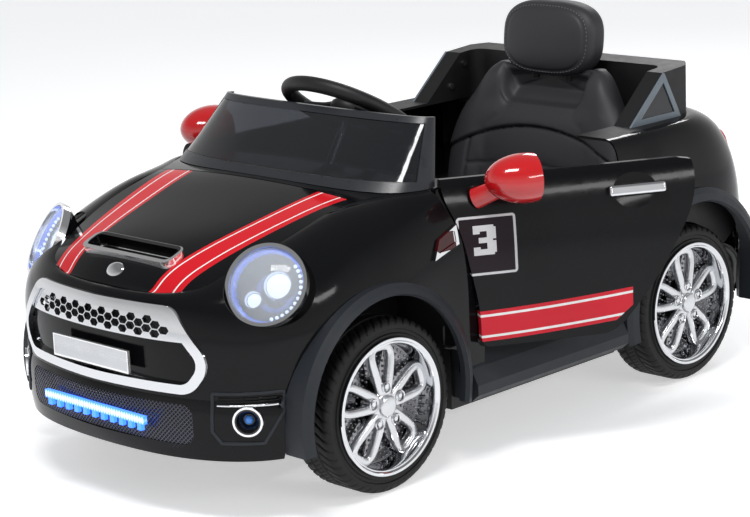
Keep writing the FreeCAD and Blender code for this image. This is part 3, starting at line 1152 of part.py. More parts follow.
teeth.setExpression("Occurrences", bound("tooth_count"))
bar.Tip = teeth
finish(bar, "light_bar")


# Lamps: turned about their own Z axis and aimed out of the body.
def lathe(name, outline, place_at, aimed):
    """A turned piece aimed out of the body."""
    body = new_body(name)
    section = sketch_on(body, "XZ_Plane", name + "_section")
    draw(section, outline)
    turned(body, section, name + "_turned")
    body.Placement = Placement(place_at, Rotation(UP, aimed))
    return body


def on_side(vector, side):
    """A place or direction on the left or right."""
    return Vector(vector.x, vector.y * side, vector.z)


def dome(name, radius, rise):
    """A cap of a ball that stands on its own base plane."""
    ball = "((%s) * (%s) + (%s) * (%s)) / (2 * (%s))" % (radius, radius, rise, rise, rise)
    made = doc.addObject("Part::Sphere", name)
    bind(made, Radius=ball, Angle1="asin(((%s) - (%s)) / (%s))" % (ball, rise, ball))
    place(made, "0", "0", "%s - (%s)" % (rise, ball))
    return made


LENS = "lamp_radius - lamp_rim - fit_gap"
bowls, lenses, fogs = [], [], []
for side_name, side in SIDES:
    at, aimed = on_side(LAMP_AT, side), on_side(LAMP_AIM, side)
    bowls.append(lathe(side_name + "_bowl", [
        ("0", "-lamp_depth"), ("lamp_back_radius", "-lamp_depth"), ("lamp_radius", "-lamp_rim"),
        ("lamp_radius", "lamp_rim_stand"), ("lamp_radius - lamp_rim", "lamp_rim_stand"),
        ("lamp_radius - lamp_rim", "-lamp_rim + lamp_wall"), ("lamp_back_radius - lamp_wall", "-lamp_depth + lamp_wall"),
        ("0", "-lamp_depth + lamp_wall")], at, aimed))
    outer = dome(side_name + "_lens_dome", LENS, "lens_rise")
    lens = cut(side_name + "_lens", outer, dome(side_name + "_lens_core", LENS + " - lens_wall", "lens_rise - lens_wall"))
    lens.Placement = Placement(at, Rotation(UP, aimed))
    lenses.append(lens)
    fogs.append(lathe(side_name + "_fog", [
        ("0", "-fog_depth"), ("fog_radius", "-fog_depth"), ("fog_radius", "fog_stand"), ("fog_bowl", "fog_stand"),
        ("fog_bowl / 2", "fog_stand - fog_bowl_depth"), ("0", "fog_stand - fog_bowl_depth")],
        on_side(FOG_AT, side), on_side(FOG_AIM, side)))
group("bowls", bowls, "headlamp_bowls")
group("lenses", lenses, "headlamp_lenses")
group("fogs", fogs, "fog_lamps")


def side_block(points, margin=0.0):
    """A side outline run outwards through the left flank, drawn in by a margin."""
    wire = Part.makePolygon([Vector(x, S.tail_half, z) for x, z in points + points[:1]])
    face = Part.Face(wire.makeOffset2D(-margin) if margin else wire)
    return face.extrude(ALONG_Y * S.half_width)


vent_outline = [(S.vent_front, S.vent_low), (S.vent_back, S.vent_low + S.vent_slant), (S.vent_back, S.vent_high),
                (S.vent_front - S.vent_slant, S.vent_high - S.vent_slant)]
vent = panel(front_rows, S.vent_stand, S.vent_stand + S.seat_gap).common(side_block(vent_outline))
vent = vent.cut(panel(front_rows, S.vent_stand, 2 * S.vent_stand - S.vent_frame / 2).common(
    side_block(vent_outline, S.vent_frame)))
finish(formed("vents", *both_sides(vent)), "side_vents")


# Wheel-arch flares: bands round each arch that end on the body's surface.
def flare(end, inner, outer, rows, rooms):
    """One flare on the left side, scribed to its panel."""
    face = S.flare_face
    section = [(inner, face - S.flare_depth), (inner, face - S.flare_lip), (inner + S.flare_lip / 2, face),
               (outer - S.flare_roll, face - S.flare_lip / 2), (outer, face - S.flare_roll),
               (outer, face - S.flare_depth)]
    wire = Part.makePolygon([Vector(r, y, 0) for r, y in section + section[:1]])
    profile = Part.Face(wire)
    profile.rotate(Vector(), AGAINST_Y, -S.flare_end)
    whole = profile.revolve(Vector(), AGAINST_Y, 180 + 2 * S.flare_end)
    whole.translate(arch(end))
    return whole.cut([panel(rows, S.volume_depth, S.seat_gap, foot=S.flare_skirt - S.overrun), *rooms])


flares = []
for end, inner, outer, rows, rooms in (
        ("front", S.front_flare_inner, S.front_flare_outer, front_rows, []),
        ("rear", S.rear_flare_inner, S.rear_flare_outer, rear_rows, [rear_room])):
    made = flare(end, inner, outer, rows, rooms)
    biggest = max(made.Solids, key=lambda solid: solid.Volume)
    flares += both_sides(biggest)
flare_set = formed("flares", *flares)

sill_rooms = [formed("front_sill_room", front_room), formed("rear_sill_room", rear_room)]
sills = []
for side_name, side in SIDES:
    sill = new_body(side_name + "_sill_body")
    mark = sketch_on(sill, "YZ_Plane", side_name + "_sill_section", "sill_rear")
    draw(mark, [(mirrored(side, y), z) for y, z in (
        ("tub_half_width", "sill_bottom"), ("sill_shoulder", "sill_bottom"), ("sill_face", "sill_low"),
        ("sill_face", "sill_high"), ("sill_shoulder", "sill_step"), ("sill_ledge", "side_wall_top"),
        ("tub_half_width", "side_wall_top"))])
    pad(sill, mark, side_name + "_sill_bar", "sill_front - sill_rear")
    sills.append(cut(side_name + "_sill", sill, *sill_rooms))
group("side_trim_set", [flare_set] + sills, "flares_and_sills")

# Rear body, bumper and tail lamps.
tail = panel(rear_rows, S.panel_wall)
tail = tail.cut(arch_cuts("rear", S.rear_flare_inner + S.arch_gap) + both_sides(door_hole))
tail = max(tail.Solids, key=lambda solid: solid.Volume)
finish(formed("tail_panel", tail), "rear_body")
rear_band = band(rear_rows[7:-7], BUMPER_TOP, S.rear_bumper_bottom, S.panel_wall, 0, S.bumper_bulge)
rear_band = rear_band.cut(arch_cuts("rear", S.rear_flare_outer + S.seat_gap))
finish(formed("rear_band", rear_band), "rear_bumper")
lamp_block = rounded(prism([Vector(S.tail_x - S.overrun, S.tail_lamp_y + a * S.tail_lamp_half,
                                   S.tail_lamp_z + b * S.tail_lamp_height / 2)
                            for a, b in ((-1, -1), (1, -1), (1, 1), (-1, 1))],
                           ALONG_X * (S.overrun + 2 * S.volume_depth)), ALONG_X, S.tail_lamp_corner)
tail_lamp = panel(rear_rows, S.tail_lamp_stand, S.tail_lamp_stand + S.seat_gap).common(lamp_block)
finish(formed("tail_lamp_pair", *both_sides(tail_lamp)), "tail_lamps")

# Rear deck with its two side hoops round the seat, trims, panes and screws.
deck_foot = S.belt_height
deck_side = [(S.hoop_foot, deck_foot), (S.hoop_top, S.hoop_top_z), (S.deck_crest, S.deck_crest_z),
             (S.deck_lip, S.deck_lip_z), (S.deck_rear, deck_foot)]
deck = prism([Vector(x, -S.deck_half, z) for x, z in deck_side], ALONG_Y * (2 * S.deck_half))
seat_room = rounded(prism([Vector(x, y, deck_foot - S.overrun) for x, y in (
    (S.deck_seat_back, -S.deck_seat_half), (0, -S.deck_seat_half),
    (0, S.deck_seat_half), (S.deck_seat_back, S.deck_seat_half))],
    UP * (S.deck_crest_z)), UP, S.deck_corner)
hollow_side = [(S.deck_seat_back - S.deck_wall, deck_foot - S.overrun),
               (S.deck_seat_back - S.deck_wall, S.hoop_top_z - S.deck_wall),
               (S.deck_crest, S.deck_crest_z - S.deck_wall), (S.deck_lip + 2 * S.deck_wall, S.deck_lip_z - S.deck_wall),
               (S.deck_rear + S.deck_wall, deck_foot - S.overrun)]
hollow = prism([Vector(x, -S.deck_half + S.deck_wall, z) for x, z in hollow_side],
               ALONG_Y * (2 * (S.deck_half - S.deck_wall)))


def deck_plan(inset):
    """The deck's outline from above: the rear body's upper edge, drawn in."""
    line = [edge + inward_of(edge, waist) * inset for edge, waist, foot in rear_rows[2:-2]]
    line = [Vector(point.x, point.y, 0) for point in line]
    return Part.Face(Part.Wire([spline(line)] + chain(line[-1], line[0]))).extrude(UP * (2 * S.deck_crest_z))


base = deck_plan(S.deck_inset).common(Part.makeBox(S.deck_front - S.tail_x, 2 * S.half_width, S.deck_wall,
                                                   Vector(S.tail_x, -S.half_width, deck_foot - S.deck_wall)))
deck = deck.common(deck_plan(S.deck_inset)).fuse(base)
deck = deck.cut([seat_room, hollow.common(deck_plan(S.deck_inset + S.deck_wall))])
finish(formed("deck", deck), "rear_deck")
trim_side = [(S.hoop_foot, deck_foot), (S.hoop_top, S.hoop_top_z), (S.trim_rear, deck_foot)]
trim_wire = Part.makePolygon([Vector(x, S.deck_half, z) for x, z in trim_side + trim_side[:1]])
window = Part.Face(trim_wire.makeOffset2D(-S.trim_band))
trim = Part.Face(trim_wire).extrude(ALONG_Y * S.trim_thickness).cut(window.extrude(ALONG_Y * S.trim_thickness))
finish(formed("trims", *both_sides(trim)), "quarter_trims")
pane = Part.Face(trim_wire.makeOffset2D(-S.trim_band - S.fit_gap)).extrude(ALONG_Y * S.pane_thickness)
quarter_panes = formed("panes", *both_sides(pane))
screws = []
for side_name, side in SIDES:
    for step in range(2):
        screws.append(rod("%s_deck_screw_%d" % (side_name, step), "deck_screw_radius", "deck_screw_height",
                          "deck_screw_x + %d * deck_screw_step" % step, mirrored(side, "deck_seat_half"),
                          "deck_screw_z - %d * deck_screw_step" % step, AGAINST_Y if side > 0 else ALONG_Y))
group("deck_screw_group", screws, "deck_screws")


# Windscreen: a bowed frame that stands on the scuttle, and its tinted pane.
def screen_point(turn_share, height, depth):
    """A point of the windscreen.

    Args:
        turn_share: 0 at the left end, 1 at the right end.
        height: 0 on the base line, 1 on the top line.
        depth: distance behind the outer face.
    """
    turn = turn_share * math.pi
    ahead = max(math.sin(turn), 0) ** SCREEN_ROUND_SHARE
    across = math.copysign(abs(math.cos(turn)) ** SCREEN_ROUND_SHARE, math.cos(turn))
    base = Vector(S.screen_base_end_x + (S.screen_base_x - S.screen_base_end_x) * ahead,
                  S.screen_base_half * across, S.screen_base_z - S.screen_base_drop * (1 - ahead))
    top = Vector(S.screen_top_end_x + (S.screen_top_x - S.screen_top_end_x) * ahead,
                 S.screen_top_half * across, S.screen_top_z - S.screen_end_drop * (1 - ahead))
    return base + (top - base) * height + Vector(-math.sin(turn), -math.cos(turn), 0) * depth


def screen_slab(turns, low, high, front, back):
    """A slab of the windscreen between two heights and two depths."""
    wires = []
    for turn in turns:
        corners = [screen_point(turn, low, front), screen_point(turn, high, front),
                   screen_point(turn, high, back), screen_point(turn, low, back)]
        wires.append(Part.makePolygon(corners + corners[:1]))
    return Part.makeLoft(wires, True, False)


def between(low, high):
    """Sections of the windscreen inside two turn shares."""
    return [low] + [turn for turn in SCREEN_STEP_SHARES if low < turn < high] + [high]


post, rail, header = SCREEN_WINDOW_SHARES
under_screen = lid(SCUTTLE_CENTRE_SHARES, SCUTTLE_BOW_SHARES, -S.flange, wall=S.overrun, lift=S.seat_gap)
frame = screen_slab(SCREEN_STEP_SHARES, SCREEN_FOOT_SHARE, 1, 0, S.screen_wall).cut(under_screen)
frame = max(frame.Solids, key=lambda solid: solid.CenterOfMass.z)
view = screen_slab(between(post, 1 - post), rail, header, -S.overrun / 4, S.screen_wall + S.overrun / 4)
finish(formed("screen_frame", frame.cut(view)), "windscreen_frame")
glass_front = (S.screen_wall - S.glass_wall) / 2
glass = screen_slab(between(post + SCREEN_GAP_SHARE, 1 - post - SCREEN_GAP_SHARE), rail + SCREEN_GAP_SHARE,
                    header - SCREEN_GAP_SHARE, glass_front, glass_front + S.glass_wall)
group("pane_set", [quarter_panes, formed("screen_glass", glass)], "tinted_panes")

# Dashboard with a passage for the column, a rocker switch and a start button.
dash = new_body("dash_body")
mark = sketch_on(dash, "XZ_Plane", "dash_section", "-dash_half")
draw(mark, [("dash_back", "dash_low + dash_nose"), ("dash_back + dash_nose", "dash_low"),
            ("tub_front - tub_wall", "dash_low"), ("tub_front - tub_wall", "dash_high"),
            ("dash_back + dash_round", "dash_high", "dash_round"), ("dash_back", "dash_high - dash_round")])
dash_pad = pad(dash, mark, "dash_block", "2 * dash_half")
dash_path = formed("dash_passage", Part.makeCylinder(S.column_radius + S.running_gap, S.column_length))
dash_path.Placement = COLUMN
rocker_room = box("rocker_room", ("dash_back - overrun", "dash_back + rocker_depth + rocker_stand"),
                  ("rocker_y - rocker_half - control_gap", "rocker_y + rocker_half + control_gap"),
                  ("control_z - rocker_height / 2 - rocker_swing", "control_z + rocker_height / 2 + rocker_swing"))
PIN_HALF = "rocker_half + rocker_pin"
pin_room = rod("rocker_pin_room", "rocker_pin + running_gap", "2 * (%s + control_gap)" % PIN_HALF,
               "dash_back + rocker_stand", "rocker_y - (%s) - control_gap" % PIN_HALF, "control_z", ALONG_Y)
button_room = rod("button_room", "button_radius + control_gap", "overrun + button_depth + button_travel",
                  "dash_back - overrun", "button_y", "control_z", ALONG_X)
finish(cut("dash", dash, dash_path, rocker_room, pin_room, button_room), "dashboard")

rocker_block = box("rocker_block", ("dash_back - rocker_stand", "dash_back + rocker_depth"),
                   ("rocker_y - rocker_half", "rocker_y + rocker_half"),
                   ("control_z - rocker_height / 2", "control_z + rocker_height / 2"))
rocker_bar = rod("rocker_bar", "rocker_pin", "2 * (%s)" % PIN_HALF, "dash_back + rocker_stand",
                 "rocker_y - (%s)" % PIN_HALF, "control_z", ALONG_Y)
finish(fuse("rocker", rocker_block, rocker_bar), "direction_rocker")
finish(rod("button", "button_radius", "button_stand + button_depth - running_gap", "dash_back - button_stand",
           "button_y", "control_z", ALONG_X), "start_button")


# Seat: a crowned cushion with two channels, a winged back and a head rest.
def mirrored_line(points):
    """A line of points carried on through its last point to the other side of the car."""
    return points + [Vector(p.x, -p.y, p.z) for p in reversed(points[:-1])]


wires = []
for along, height, width in CUSHION_SHARES:
    x = S.seat_front + (S.seat_rear - S.seat_front) * along
    half = mirrored_line([Vector(x, S.seat_half * width * a, S.seat_floor + S.seat_height * height * b)
                          for a, b in CUSHION_RIB_SHARES])
    wires.append(Part.Wire([spline(half)] + chain(half[-1], half[0])))
finish(formed("cushion", Part.makeLoft(wires, True, False)), "seat_cushion")

wires = []
for height, reach, width in BACK_SHARES:
    z = S.seat_floor + (S.back_high - S.seat_floor) * height
    rear = S.back_foot_x + (S.back_top_x - S.back_foot_x) * height - S.back_depth
    half = mirrored_line([Vector(rear + S.back_depth * reach * b, S.back_half * width * a, z)
                          for a, b in BACK_RIB_SHARES])
    wires.append(Part.Wire([spline(half)] + chain(half[-1], half[0])))
finish(formed("seat_back_solid", Part.makeLoft(wires, True, False)), "seat_back")

wires = []
steps = 2 * len(SCREEN_STEP_SHARES)
for height, depth, width in REST_SHARES:
    z = S.rest_low + (S.rest_high - S.rest_low) * height
    points = []
    for step in range(steps):
        turn = 2 * math.pi * step / steps
        out = [math.copysign(abs(part) ** REST_ROUND_SHARE, part) for part in (math.cos(turn), math.sin(turn))]
        points.append(Vector(S.rest_x + S.rest_depth / 2 * depth * out[0], S.rest_half * width * out[1], z))
    curve = Part.BSplineCurve()
    curve.interpolate(points, True)
    wires.append(Part.Wire([curve.toShape()]))
rest = Part.makeLoft(wires, True, False)
posts = [cylinder(S.rest_post_radius, S.rest_low + S.rest_post_sink - S.back_high - S.fit_gap,
                  Vector(S.rest_x, side * S.rest_post_y, S.back_high + S.fit_gap), UP) for name, side in SIDES]
finish(formed("rest", rest.fuse(posts).removeSplitter()), "headrest")

# Door hinge pillars on the dash wall, each with two pairs of ears and a pin.
pillars = []
for side_name, side in SIDES:
    pieces = [
        box(side_name + "_pillar_post", ("pillar_back", "pillar_front"), span(side, "pillar_in", "pillar_out"),
            ("pillar_low", "pillar_high")),
        box(side_name + "_pillar_foot", ("tub_front", "pillar_front"), span(side, "pillar_in", "dash_wall_half"),
            ("pillar_low", "pillar_high")),
        rod(side_name + "_hinge_pin", "hinge_pin", "hinge_high - hinge_low + hinge_height + 2 * (hinge_ear + running_gap)",
            "hinge_x", mirrored(side, "hinge_y"), "hinge_low - hinge_ear - running_gap"),
    ]
    for level in ("hinge_low", "hinge_high"):
        for part, low in (("under", level + " - running_gap - hinge_ear"), ("over", level + " + hinge_height + running_gap")):
            pieces.append(box("%s_%s_%s" % (side_name, level, part), ("ear_back", "pillar_back"),
                              span(side, "ear_in", "pillar_out"), (low, low + " + hinge_ear")))
    pillars.append(fuse(side_name + "_pillar", *pieces))
group("pillar_set", pillars, "hinge_pillars")

# Doors: a hollow-backed slab that follows the body, with hinge sleeves, a dished
# handle and a mirror. All are drawn shut on the left, then mirrored or swung.
door_skin = panel(door_rows, S.door_depth)


def skin_y(x, z):
    """How far out the door's skin is at a place on its side."""
    line = Part.makeLine(Vector(x, 0, z), Vector(x, 2 * S.half_width, z))
    return max(vertex.Y for vertex in door_skin.common(line).Vertexes)


door = door_skin.common(door_block(0, *DOOR_SPAN))
dish_ball = (S.dish_radius ** 2 + S.dish_depth ** 2) / (2 * S.dish_depth)
dish_y = skin_y(S.dish_x, S.dish_z)
lean_y = skin_y(S.dish_x, S.dish_z + S.handle_height / 2) - skin_y(S.dish_x, S.dish_z - S.handle_height / 2)
tilt = math.atan2(-lean_y, S.handle_height)
out_of_door = Vector(0, math.cos(tilt), math.sin(tilt))
dish_middle = Vector(S.dish_x, dish_y, S.dish_z) + out_of_door * (dish_ball - S.dish_depth)
door = door.cut(Part.makeSphere(dish_ball, dish_middle))
for level in (S.hinge_low, S.hinge_high):
    arm = Part.makeBox(S.hinge_arm_reach, S.hinge_arm_in - S.hinge_arm_out, S.hinge_height,
                       Vector(S.hinge_x - S.hinge_arm_reach, S.hinge_y - S.hinge_arm_in, level))
    neck = Part.makeBox(2 * S.hinge_sleeve, S.hinge_arm_in, S.hinge_height,
                        Vector(S.hinge_x - S.hinge_sleeve, S.hinge_y - S.hinge_arm_in, level))
    sleeve = cylinder(S.hinge_sleeve, S.hinge_height, Vector(S.hinge_x, S.hinge_y, level), UP)
    bore = cylinder(S.hinge_pin + S.running_gap, S.hinge_height, Vector(S.hinge_x, S.hinge_y, level), UP)
    door = door.fuse([arm, neck, sleeve]).cut(bore)

grip = Part.makeBox(2 * S.handle_half, S.handle_depth, S.handle_height,
                    Vector(-S.handle_half, S.fit_gap, -S.handle_height / 2))
grip = grip.makeFillet(S.handle_depth / 3, grip.Edges)
grip.Placement = Placement(Vector(S.dish_x, dish_y, S.dish_z), Rotation(ALONG_X, math.degrees(tilt)))
grown_skin = panel(door_rows, S.door_depth, S.seat_gap)
grip = grip.cut(grown_skin)


def oval(base, along, half_y, half_z):
    """An oval bar along the car."""
    scale = FreeCAD.Matrix()
    scale.scale(1, half_y, half_z)
    bar = cylinder(1, along, Vector(), ALONG_X).transformGeometry(scale)
    bar.translate(base)
    return bar


mirror_at = Vector(S.mirror_x, S.mirror_y, S.mirror_z)
scale = FreeCAD.Matrix()
scale.scale(S.mirror_half_x, S.mirror_half_y, S.mirror_half_z)
head = Part.makeSphere(1, Vector(), ALONG_X).transformGeometry(scale)
head.translate(mirror_at)
foot = Vector(S.mirror_foot_x, skin_y(S.mirror_foot_x, S.mirror_foot_z) - S.door_crown, S.mirror_foot_z)
reach = mirror_at - foot
neck = Part.makeCone(S.mirror_foot_radius, S.mirror_neck_radius, reach.Length * MIRROR_NECK_SHARE, foot, reach)
glass_x = S.mirror_x - S.mirror_cut
behind = Part.makeBox(S.mirror_half_x, 4 * S.mirror_half_y, 4 * S.mirror_half_z,
                      Vector(glass_x - S.mirror_half_x, S.mirror_y - 2 * S.mirror_half_y,
                             S.mirror_z - 2 * S.mirror_half_z))
glass_at = Vector(glass_x, S.mirror_y, S.mirror_z)
glass_half = [half * MIRROR_GLASS_SHARE for half in (S.mirror_half_y, S.mirror_half_z)]
recess = oval(glass_at, S.mirror_glass + S.mirror_glass_gap, *[half + S.mirror_glass_gap for half in glass_half])
neck = max(neck.cut(grown_skin).Solids, key=lambda solid: solid.CenterOfMass.y)
shell = head.cut(behind).cut(recess).fuse(neck)
mirror_glass = oval(glass_at, S.mirror_glass, *glass_half)
swing = Placement(Vector(), Rotation(UP, -S.door_open), Vector(S.hinge_x, S.hinge_y, 0))
for label, solids in (("door", [door]), ("door_handle", [grip]), ("mirror", [shell, mirror_glass])):
    opened = formed("left_%s_shape" % label, *solids)
    opened.Placement = swing
    finish(opened, "left_" + label)
    finish(formed("right_%s_shape" % label, *[flip(solid) for solid in solids]), "right_" + label)

# Every piece is checked and written.
sheet.clear("D1")
doc.recompute()
for item in doc.Objects:
    if "Invalid" in item.State or "Error" in item.State:
        raise RuntimeError("%s failed: %s" % (item.Name, item.State))
os.makedirs("parts", exist_ok=True)
for piece in PARTS:
    shape = piece.Shape
    if shape.isNull() or not shape.isValid() or not shape.Solids:
        raise RuntimeError("%s has no sound shape" % piece.Label)
    shape.exportStep(os.path.join("parts", piece.Label + ".step"))
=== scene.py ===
"""Looks of a child's electric ride-on roadster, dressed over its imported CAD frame.

The CAD nodes keep their places and get procedural finishes. Wheels, tyres, the
steering wheel, lamp insides, splash guards, the intake mesh and the padded seat
are surfaces worked out with numpy in the same frame, in metres.
"""
import enum
import json
import logging
import math
from dataclasses import dataclass
from functools import reduce
from typing import Callable, Iterable, Optional, Sequence, Union

import bmesh
import bpy
import numpy as np
from mathutils import Matrix, Vector
from mathutils.bvhtree import BVHTree


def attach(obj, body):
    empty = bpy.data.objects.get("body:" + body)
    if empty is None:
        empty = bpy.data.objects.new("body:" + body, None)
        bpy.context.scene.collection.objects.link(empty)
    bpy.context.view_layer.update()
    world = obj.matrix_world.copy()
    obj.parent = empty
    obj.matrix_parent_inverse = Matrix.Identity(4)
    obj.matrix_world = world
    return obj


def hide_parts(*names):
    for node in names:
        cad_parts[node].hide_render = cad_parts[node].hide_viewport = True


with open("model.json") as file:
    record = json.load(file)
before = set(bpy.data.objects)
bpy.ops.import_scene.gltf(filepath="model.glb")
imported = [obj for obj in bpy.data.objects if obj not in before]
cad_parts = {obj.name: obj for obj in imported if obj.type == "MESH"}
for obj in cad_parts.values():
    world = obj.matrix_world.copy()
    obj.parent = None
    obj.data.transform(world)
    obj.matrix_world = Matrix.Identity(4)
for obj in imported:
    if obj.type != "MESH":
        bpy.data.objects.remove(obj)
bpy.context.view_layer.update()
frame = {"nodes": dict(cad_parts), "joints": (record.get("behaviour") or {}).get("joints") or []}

MM = 0.001
TURN = 2 * math.pi
TINY = 1e-9
POLE = 0.0001
SIDES = (("left", 1), ("right", -1))
Socket = bpy.types.NodeSocket
Colour = tuple[float, float, float]
Outline = Sequence[tuple[float, float]]
Mesh = tuple[np.ndarray, np.ndarray]
log = logging.getLogger("ride_on_roadster")


class Grain(enum.Enum):
    """What the fine surface of a finish looks like."""

    MOULDED = "moulded"
    BRUSHED = "brushed"
    LEATHER = "leather"


def maths(operation: str, swap: bool = False) -> Callable[..., "Share"]:
    """A method of Share that adds one Math node.

    Args:
        operation: Blender's name of the operation.
        swap: whether the other number comes first.

    Returns:
        The method.
    """
    return lambda share, other=0.0: share.join(operation, other, swap)


class Share:
    """A number in a node tree, for plain arithmetic: each operation adds one Math node."""

    def __init__(self, bench: "Bench", socket: Socket) -> None:
        """Keeps the socket and the bench of its tree."""
        self.bench, self.socket = bench, socket

    def join(self, operation: str, other: Union["Share", float], swap: bool = False) -> "Share":
        """Joins this number and another in a Math node."""
        node = self.bench.add("Math")
        node.operation = operation
        pair = (other, self) if swap else (self, other)
        for socket, value in zip(node.inputs, pair):
            self.bench.feed(socket, value)
        return Share(self.bench, node.outputs[0])

    __add__, __sub__, __mul__, __truediv__ = map(maths, ("ADD", "SUBTRACT", "MULTIPLY", "DIVIDE"))
    __gt__, __lt__, __abs__, __pow__ = map(maths, ("GREATER_THAN", "LESS_THAN", "ABSOLUTE", "POWER"))
    at_least, at_most, ping_pong = map(maths, ("MAXIMUM", "MINIMUM", "PINGPONG"))
    __rsub__ = maths("SUBTRACT", swap=True)


def between(value: Share, low: float, high: float) -> Share:
    """1 where a value lies between two numbers, else 0."""
    return (value > low) * (value < high)


def union(masks: Iterable[Share]) -> Share:
    """1 where any of several masks is 1."""
    return reduce(Share.at_least, masks)


def past(value: Share, middle: float, half: float) -> Share:
    """The square of how far a value lies outside middle - half to middle + half."""
    return (abs(value - middle) - half).at_least(0.0) ** 2.0


class Bench:
    """Adds nodes to the tree of a material or a world and joins them."""

    def __init__(self, owner: Union[bpy.types.Material, bpy.types.World]) -> None:
        """Empties the owner's node tree."""
        owner.use_nodes = True
        self.owner, self.tree = owner, owner.node_tree
        self.tree.nodes.clear()

    def add(self, kind: str, **inputs: object) -> bpy.types.Node:
        """Adds a node.

        Args:
            kind: Blender's name of it, without ShaderNode.
            inputs: values of its inputs.

        Returns:
            The node.
        """
        node = self.tree.nodes.new("ShaderNode" + kind)
        self.set(node, **inputs)
        return node

    def feed(self, socket: Socket, value: object) -> None:
        """Joins an input to a share or a socket, or sets a constant on it."""
        value = value.socket if isinstance(value, Share) else value
        if isinstance(value, Socket):
            self.tree.links.new(value, socket)
        else:
            socket.default_value = value

    def set(self, node: bpy.types.Node, **values: object) -> None:
        """Sets a node's inputs, named with underscores for spaces."""
        for name, value in values.items():
            self.feed(node.inputs[name.replace("_", " ")], value)

    def axes(self, vector: Socket) -> list[Share]:
        """The three parts of a vector."""
        return [Share(self, part) for part in self.add("SeparateXYZ", Vector=vector).outputs]

    def spread(self, value: Share, source: tuple[float, float], target: tuple[float, float]) -> Share:
        """A value carried from one range to another, and held at its ends."""
        node = self.add("MapRange")
        for socket, number in zip(node.inputs, (value, *source, *target)):
            self.feed(socket, number)
        return Share(self, node.outputs[0])

    def seen(self) -> Share:
        """1 for what the camera, gloss and glass see, else 0."""
        path = self.add("LightPath").outputs
        return union(Share(self, path[f"Is {ray} Ray"]) for ray in ("Camera", "Glossy", "Transmission"))


class MaterialBench(Bench):
    """The bench of a new material, with its shader and the object's coordinates."""

    def __init__(self, name: str) -> None:
        """Starts a material with a Principled shader.

        Args:
            name: the material's name.
        """
        super().__init__(bpy.data.materials.new(name))
        self.shader = self.add("BsdfPrincipled")
        self.feed(self.add("OutputMaterial").inputs[0], self.shader.outputs[0])
        self.coords = self.add("TexCoord").outputs["Object"]

    def shade(self, **values: object) -> None:
        """Sets the shader's inputs."""
        self.set(self.shader, **values)

    def mapped(self, location: Sequence[float] = (0, 0, 0), turn: float = 0.0,
               scale: Sequence[float] = (1, 1, 1)) -> Socket:
        """Object coordinates, scaled, turned about Z and moved."""
        return self.add("Mapping", Vector=self.coords, Location=location, Rotation=(0, 0, turn),
                        Scale=scale).outputs[0]

    def noise(self, vector: Socket, scale: float, detail: float = 3.0) -> Share:
        """Noise from 0 to 1 at a scale per metre."""
        return Share(self, self.add("TexNoise", Vector=vector, Scale=scale, Detail=detail).outputs[0])

    def cells(self, vector: Socket, scale: float) -> Share:
        """Distance to the edge of rounded cells, as pebbled leather has."""
        node = self.add("TexVoronoi")
        node.feature = "DISTANCE_TO_EDGE"
        self.set(node, Vector=vector, Scale=scale)
        return Share(self, node.outputs[0])

    def blend(self, share: Share, first: Union[Socket, Colour], second: Union[Socket, Colour]) -> Socket:
        """A colour between two others."""
        node = self.add("Mix")
        node.data_type = "RGBA"
        self.feed(node.inputs[0], share)
        for socket, value in zip(node.inputs[6:8], (first, second)):
            self.feed(socket, value if isinstance(value, Socket) else (*value, 1.0))
        return node.outputs[2]

    def attribute(self, name: str) -> Share:
        """A number kept on each vertex."""
        node = self.add("Attribute")
        node.attribute_name = name
        return Share(self, node.outputs["Fac"])

    def bump(self, height: Share, depth: float) -> None:
        """Raises the surface by a height from 0 to 1 times a depth in metres."""
        self.shade(Normal=self.add("Bump", Strength=1.0, Distance=depth, Height=height).outputs[0])


@dataclass(frozen=True)
class Finish:
    """One finish: its colour, gloss and fine grain.

    Attributes:
        slot: the record's material slot; not used.
        mottle: how far the colour varies, as a share of itself.
        smear: how far the roughness varies.
        grain_size: size of one grain, in metres.
        grain_depth: height of the grain, in metres.
        glow: strength of its own light; glow_by names a vertex attribute that scales it.
    """

    name: str
    slot: str
    colour: Colour
    roughness: float
    metallic: float = 0.0
    coat: float = 0.0
    specular: float = 0.5
    clear: float = 0.0
    mottle: float = 0.12
    smear: float = 0.05
    grain: Grain = Grain.MOULDED
    grain_size: float = 0.0012
    grain_depth: float = 0.00002
    glow: float = 0.0
    glow_colour: Colour = (1.0, 1.0, 1.0)
    glow_by: str = ""

    def pattern(self, bench: MaterialBench, colour: Socket) -> Socket:
        """Draws on the plain colour; a plain finish draws nothing."""
        return colour

    def material(self) -> bpy.types.Material:
        """The finish as a node material, made once."""
        if self.name in bpy.data.materials:
            return bpy.data.materials[self.name]
        bench = MaterialBench(self.name)
        streak = (1.0, 0.02, 1.0) if self.grain is Grain.BRUSHED else (1.0, 1.0, 1.0)
        coords = bench.mapped(scale=streak)
        light = tuple(min(1.0, c * (1 + self.mottle)) for c in self.colour)
        dark = tuple(c * (1 - self.mottle) for c in self.colour)
        cloud = bench.noise(bench.coords, 14.0)
        colour = self.pattern(bench, bench.blend(cloud, dark, light))
        rub = bench.noise(coords, 60.0, 5.0)
        gloss = (max(0.0, self.roughness - self.smear), self.roughness + self.smear)
        bench.shade(Base_Color=colour, Metallic=self.metallic, Coat_Weight=self.coat, Coat_Roughness=0.03,
                    Specular_IOR_Level=self.specular, Transmission_Weight=self.clear,
                    Roughness=bench.spread(rub, (0.25, 0.75), gloss))
        if self.grain is Grain.LEATHER:
            height = bench.cells(coords, 0.5 / self.grain_size) ** 0.4
        else:
            height = bench.noise(coords, 1.0 / self.grain_size, 2.0)
        bench.bump(height, self.grain_depth)
        if self.glow:
            strength = bench.attribute(self.glow_by) * self.glow if self.glow_by else self.glow
            bench.shade(Emission_Color=(*self.glow_colour, 1.0), Emission_Strength=strength)
        return bench.owner


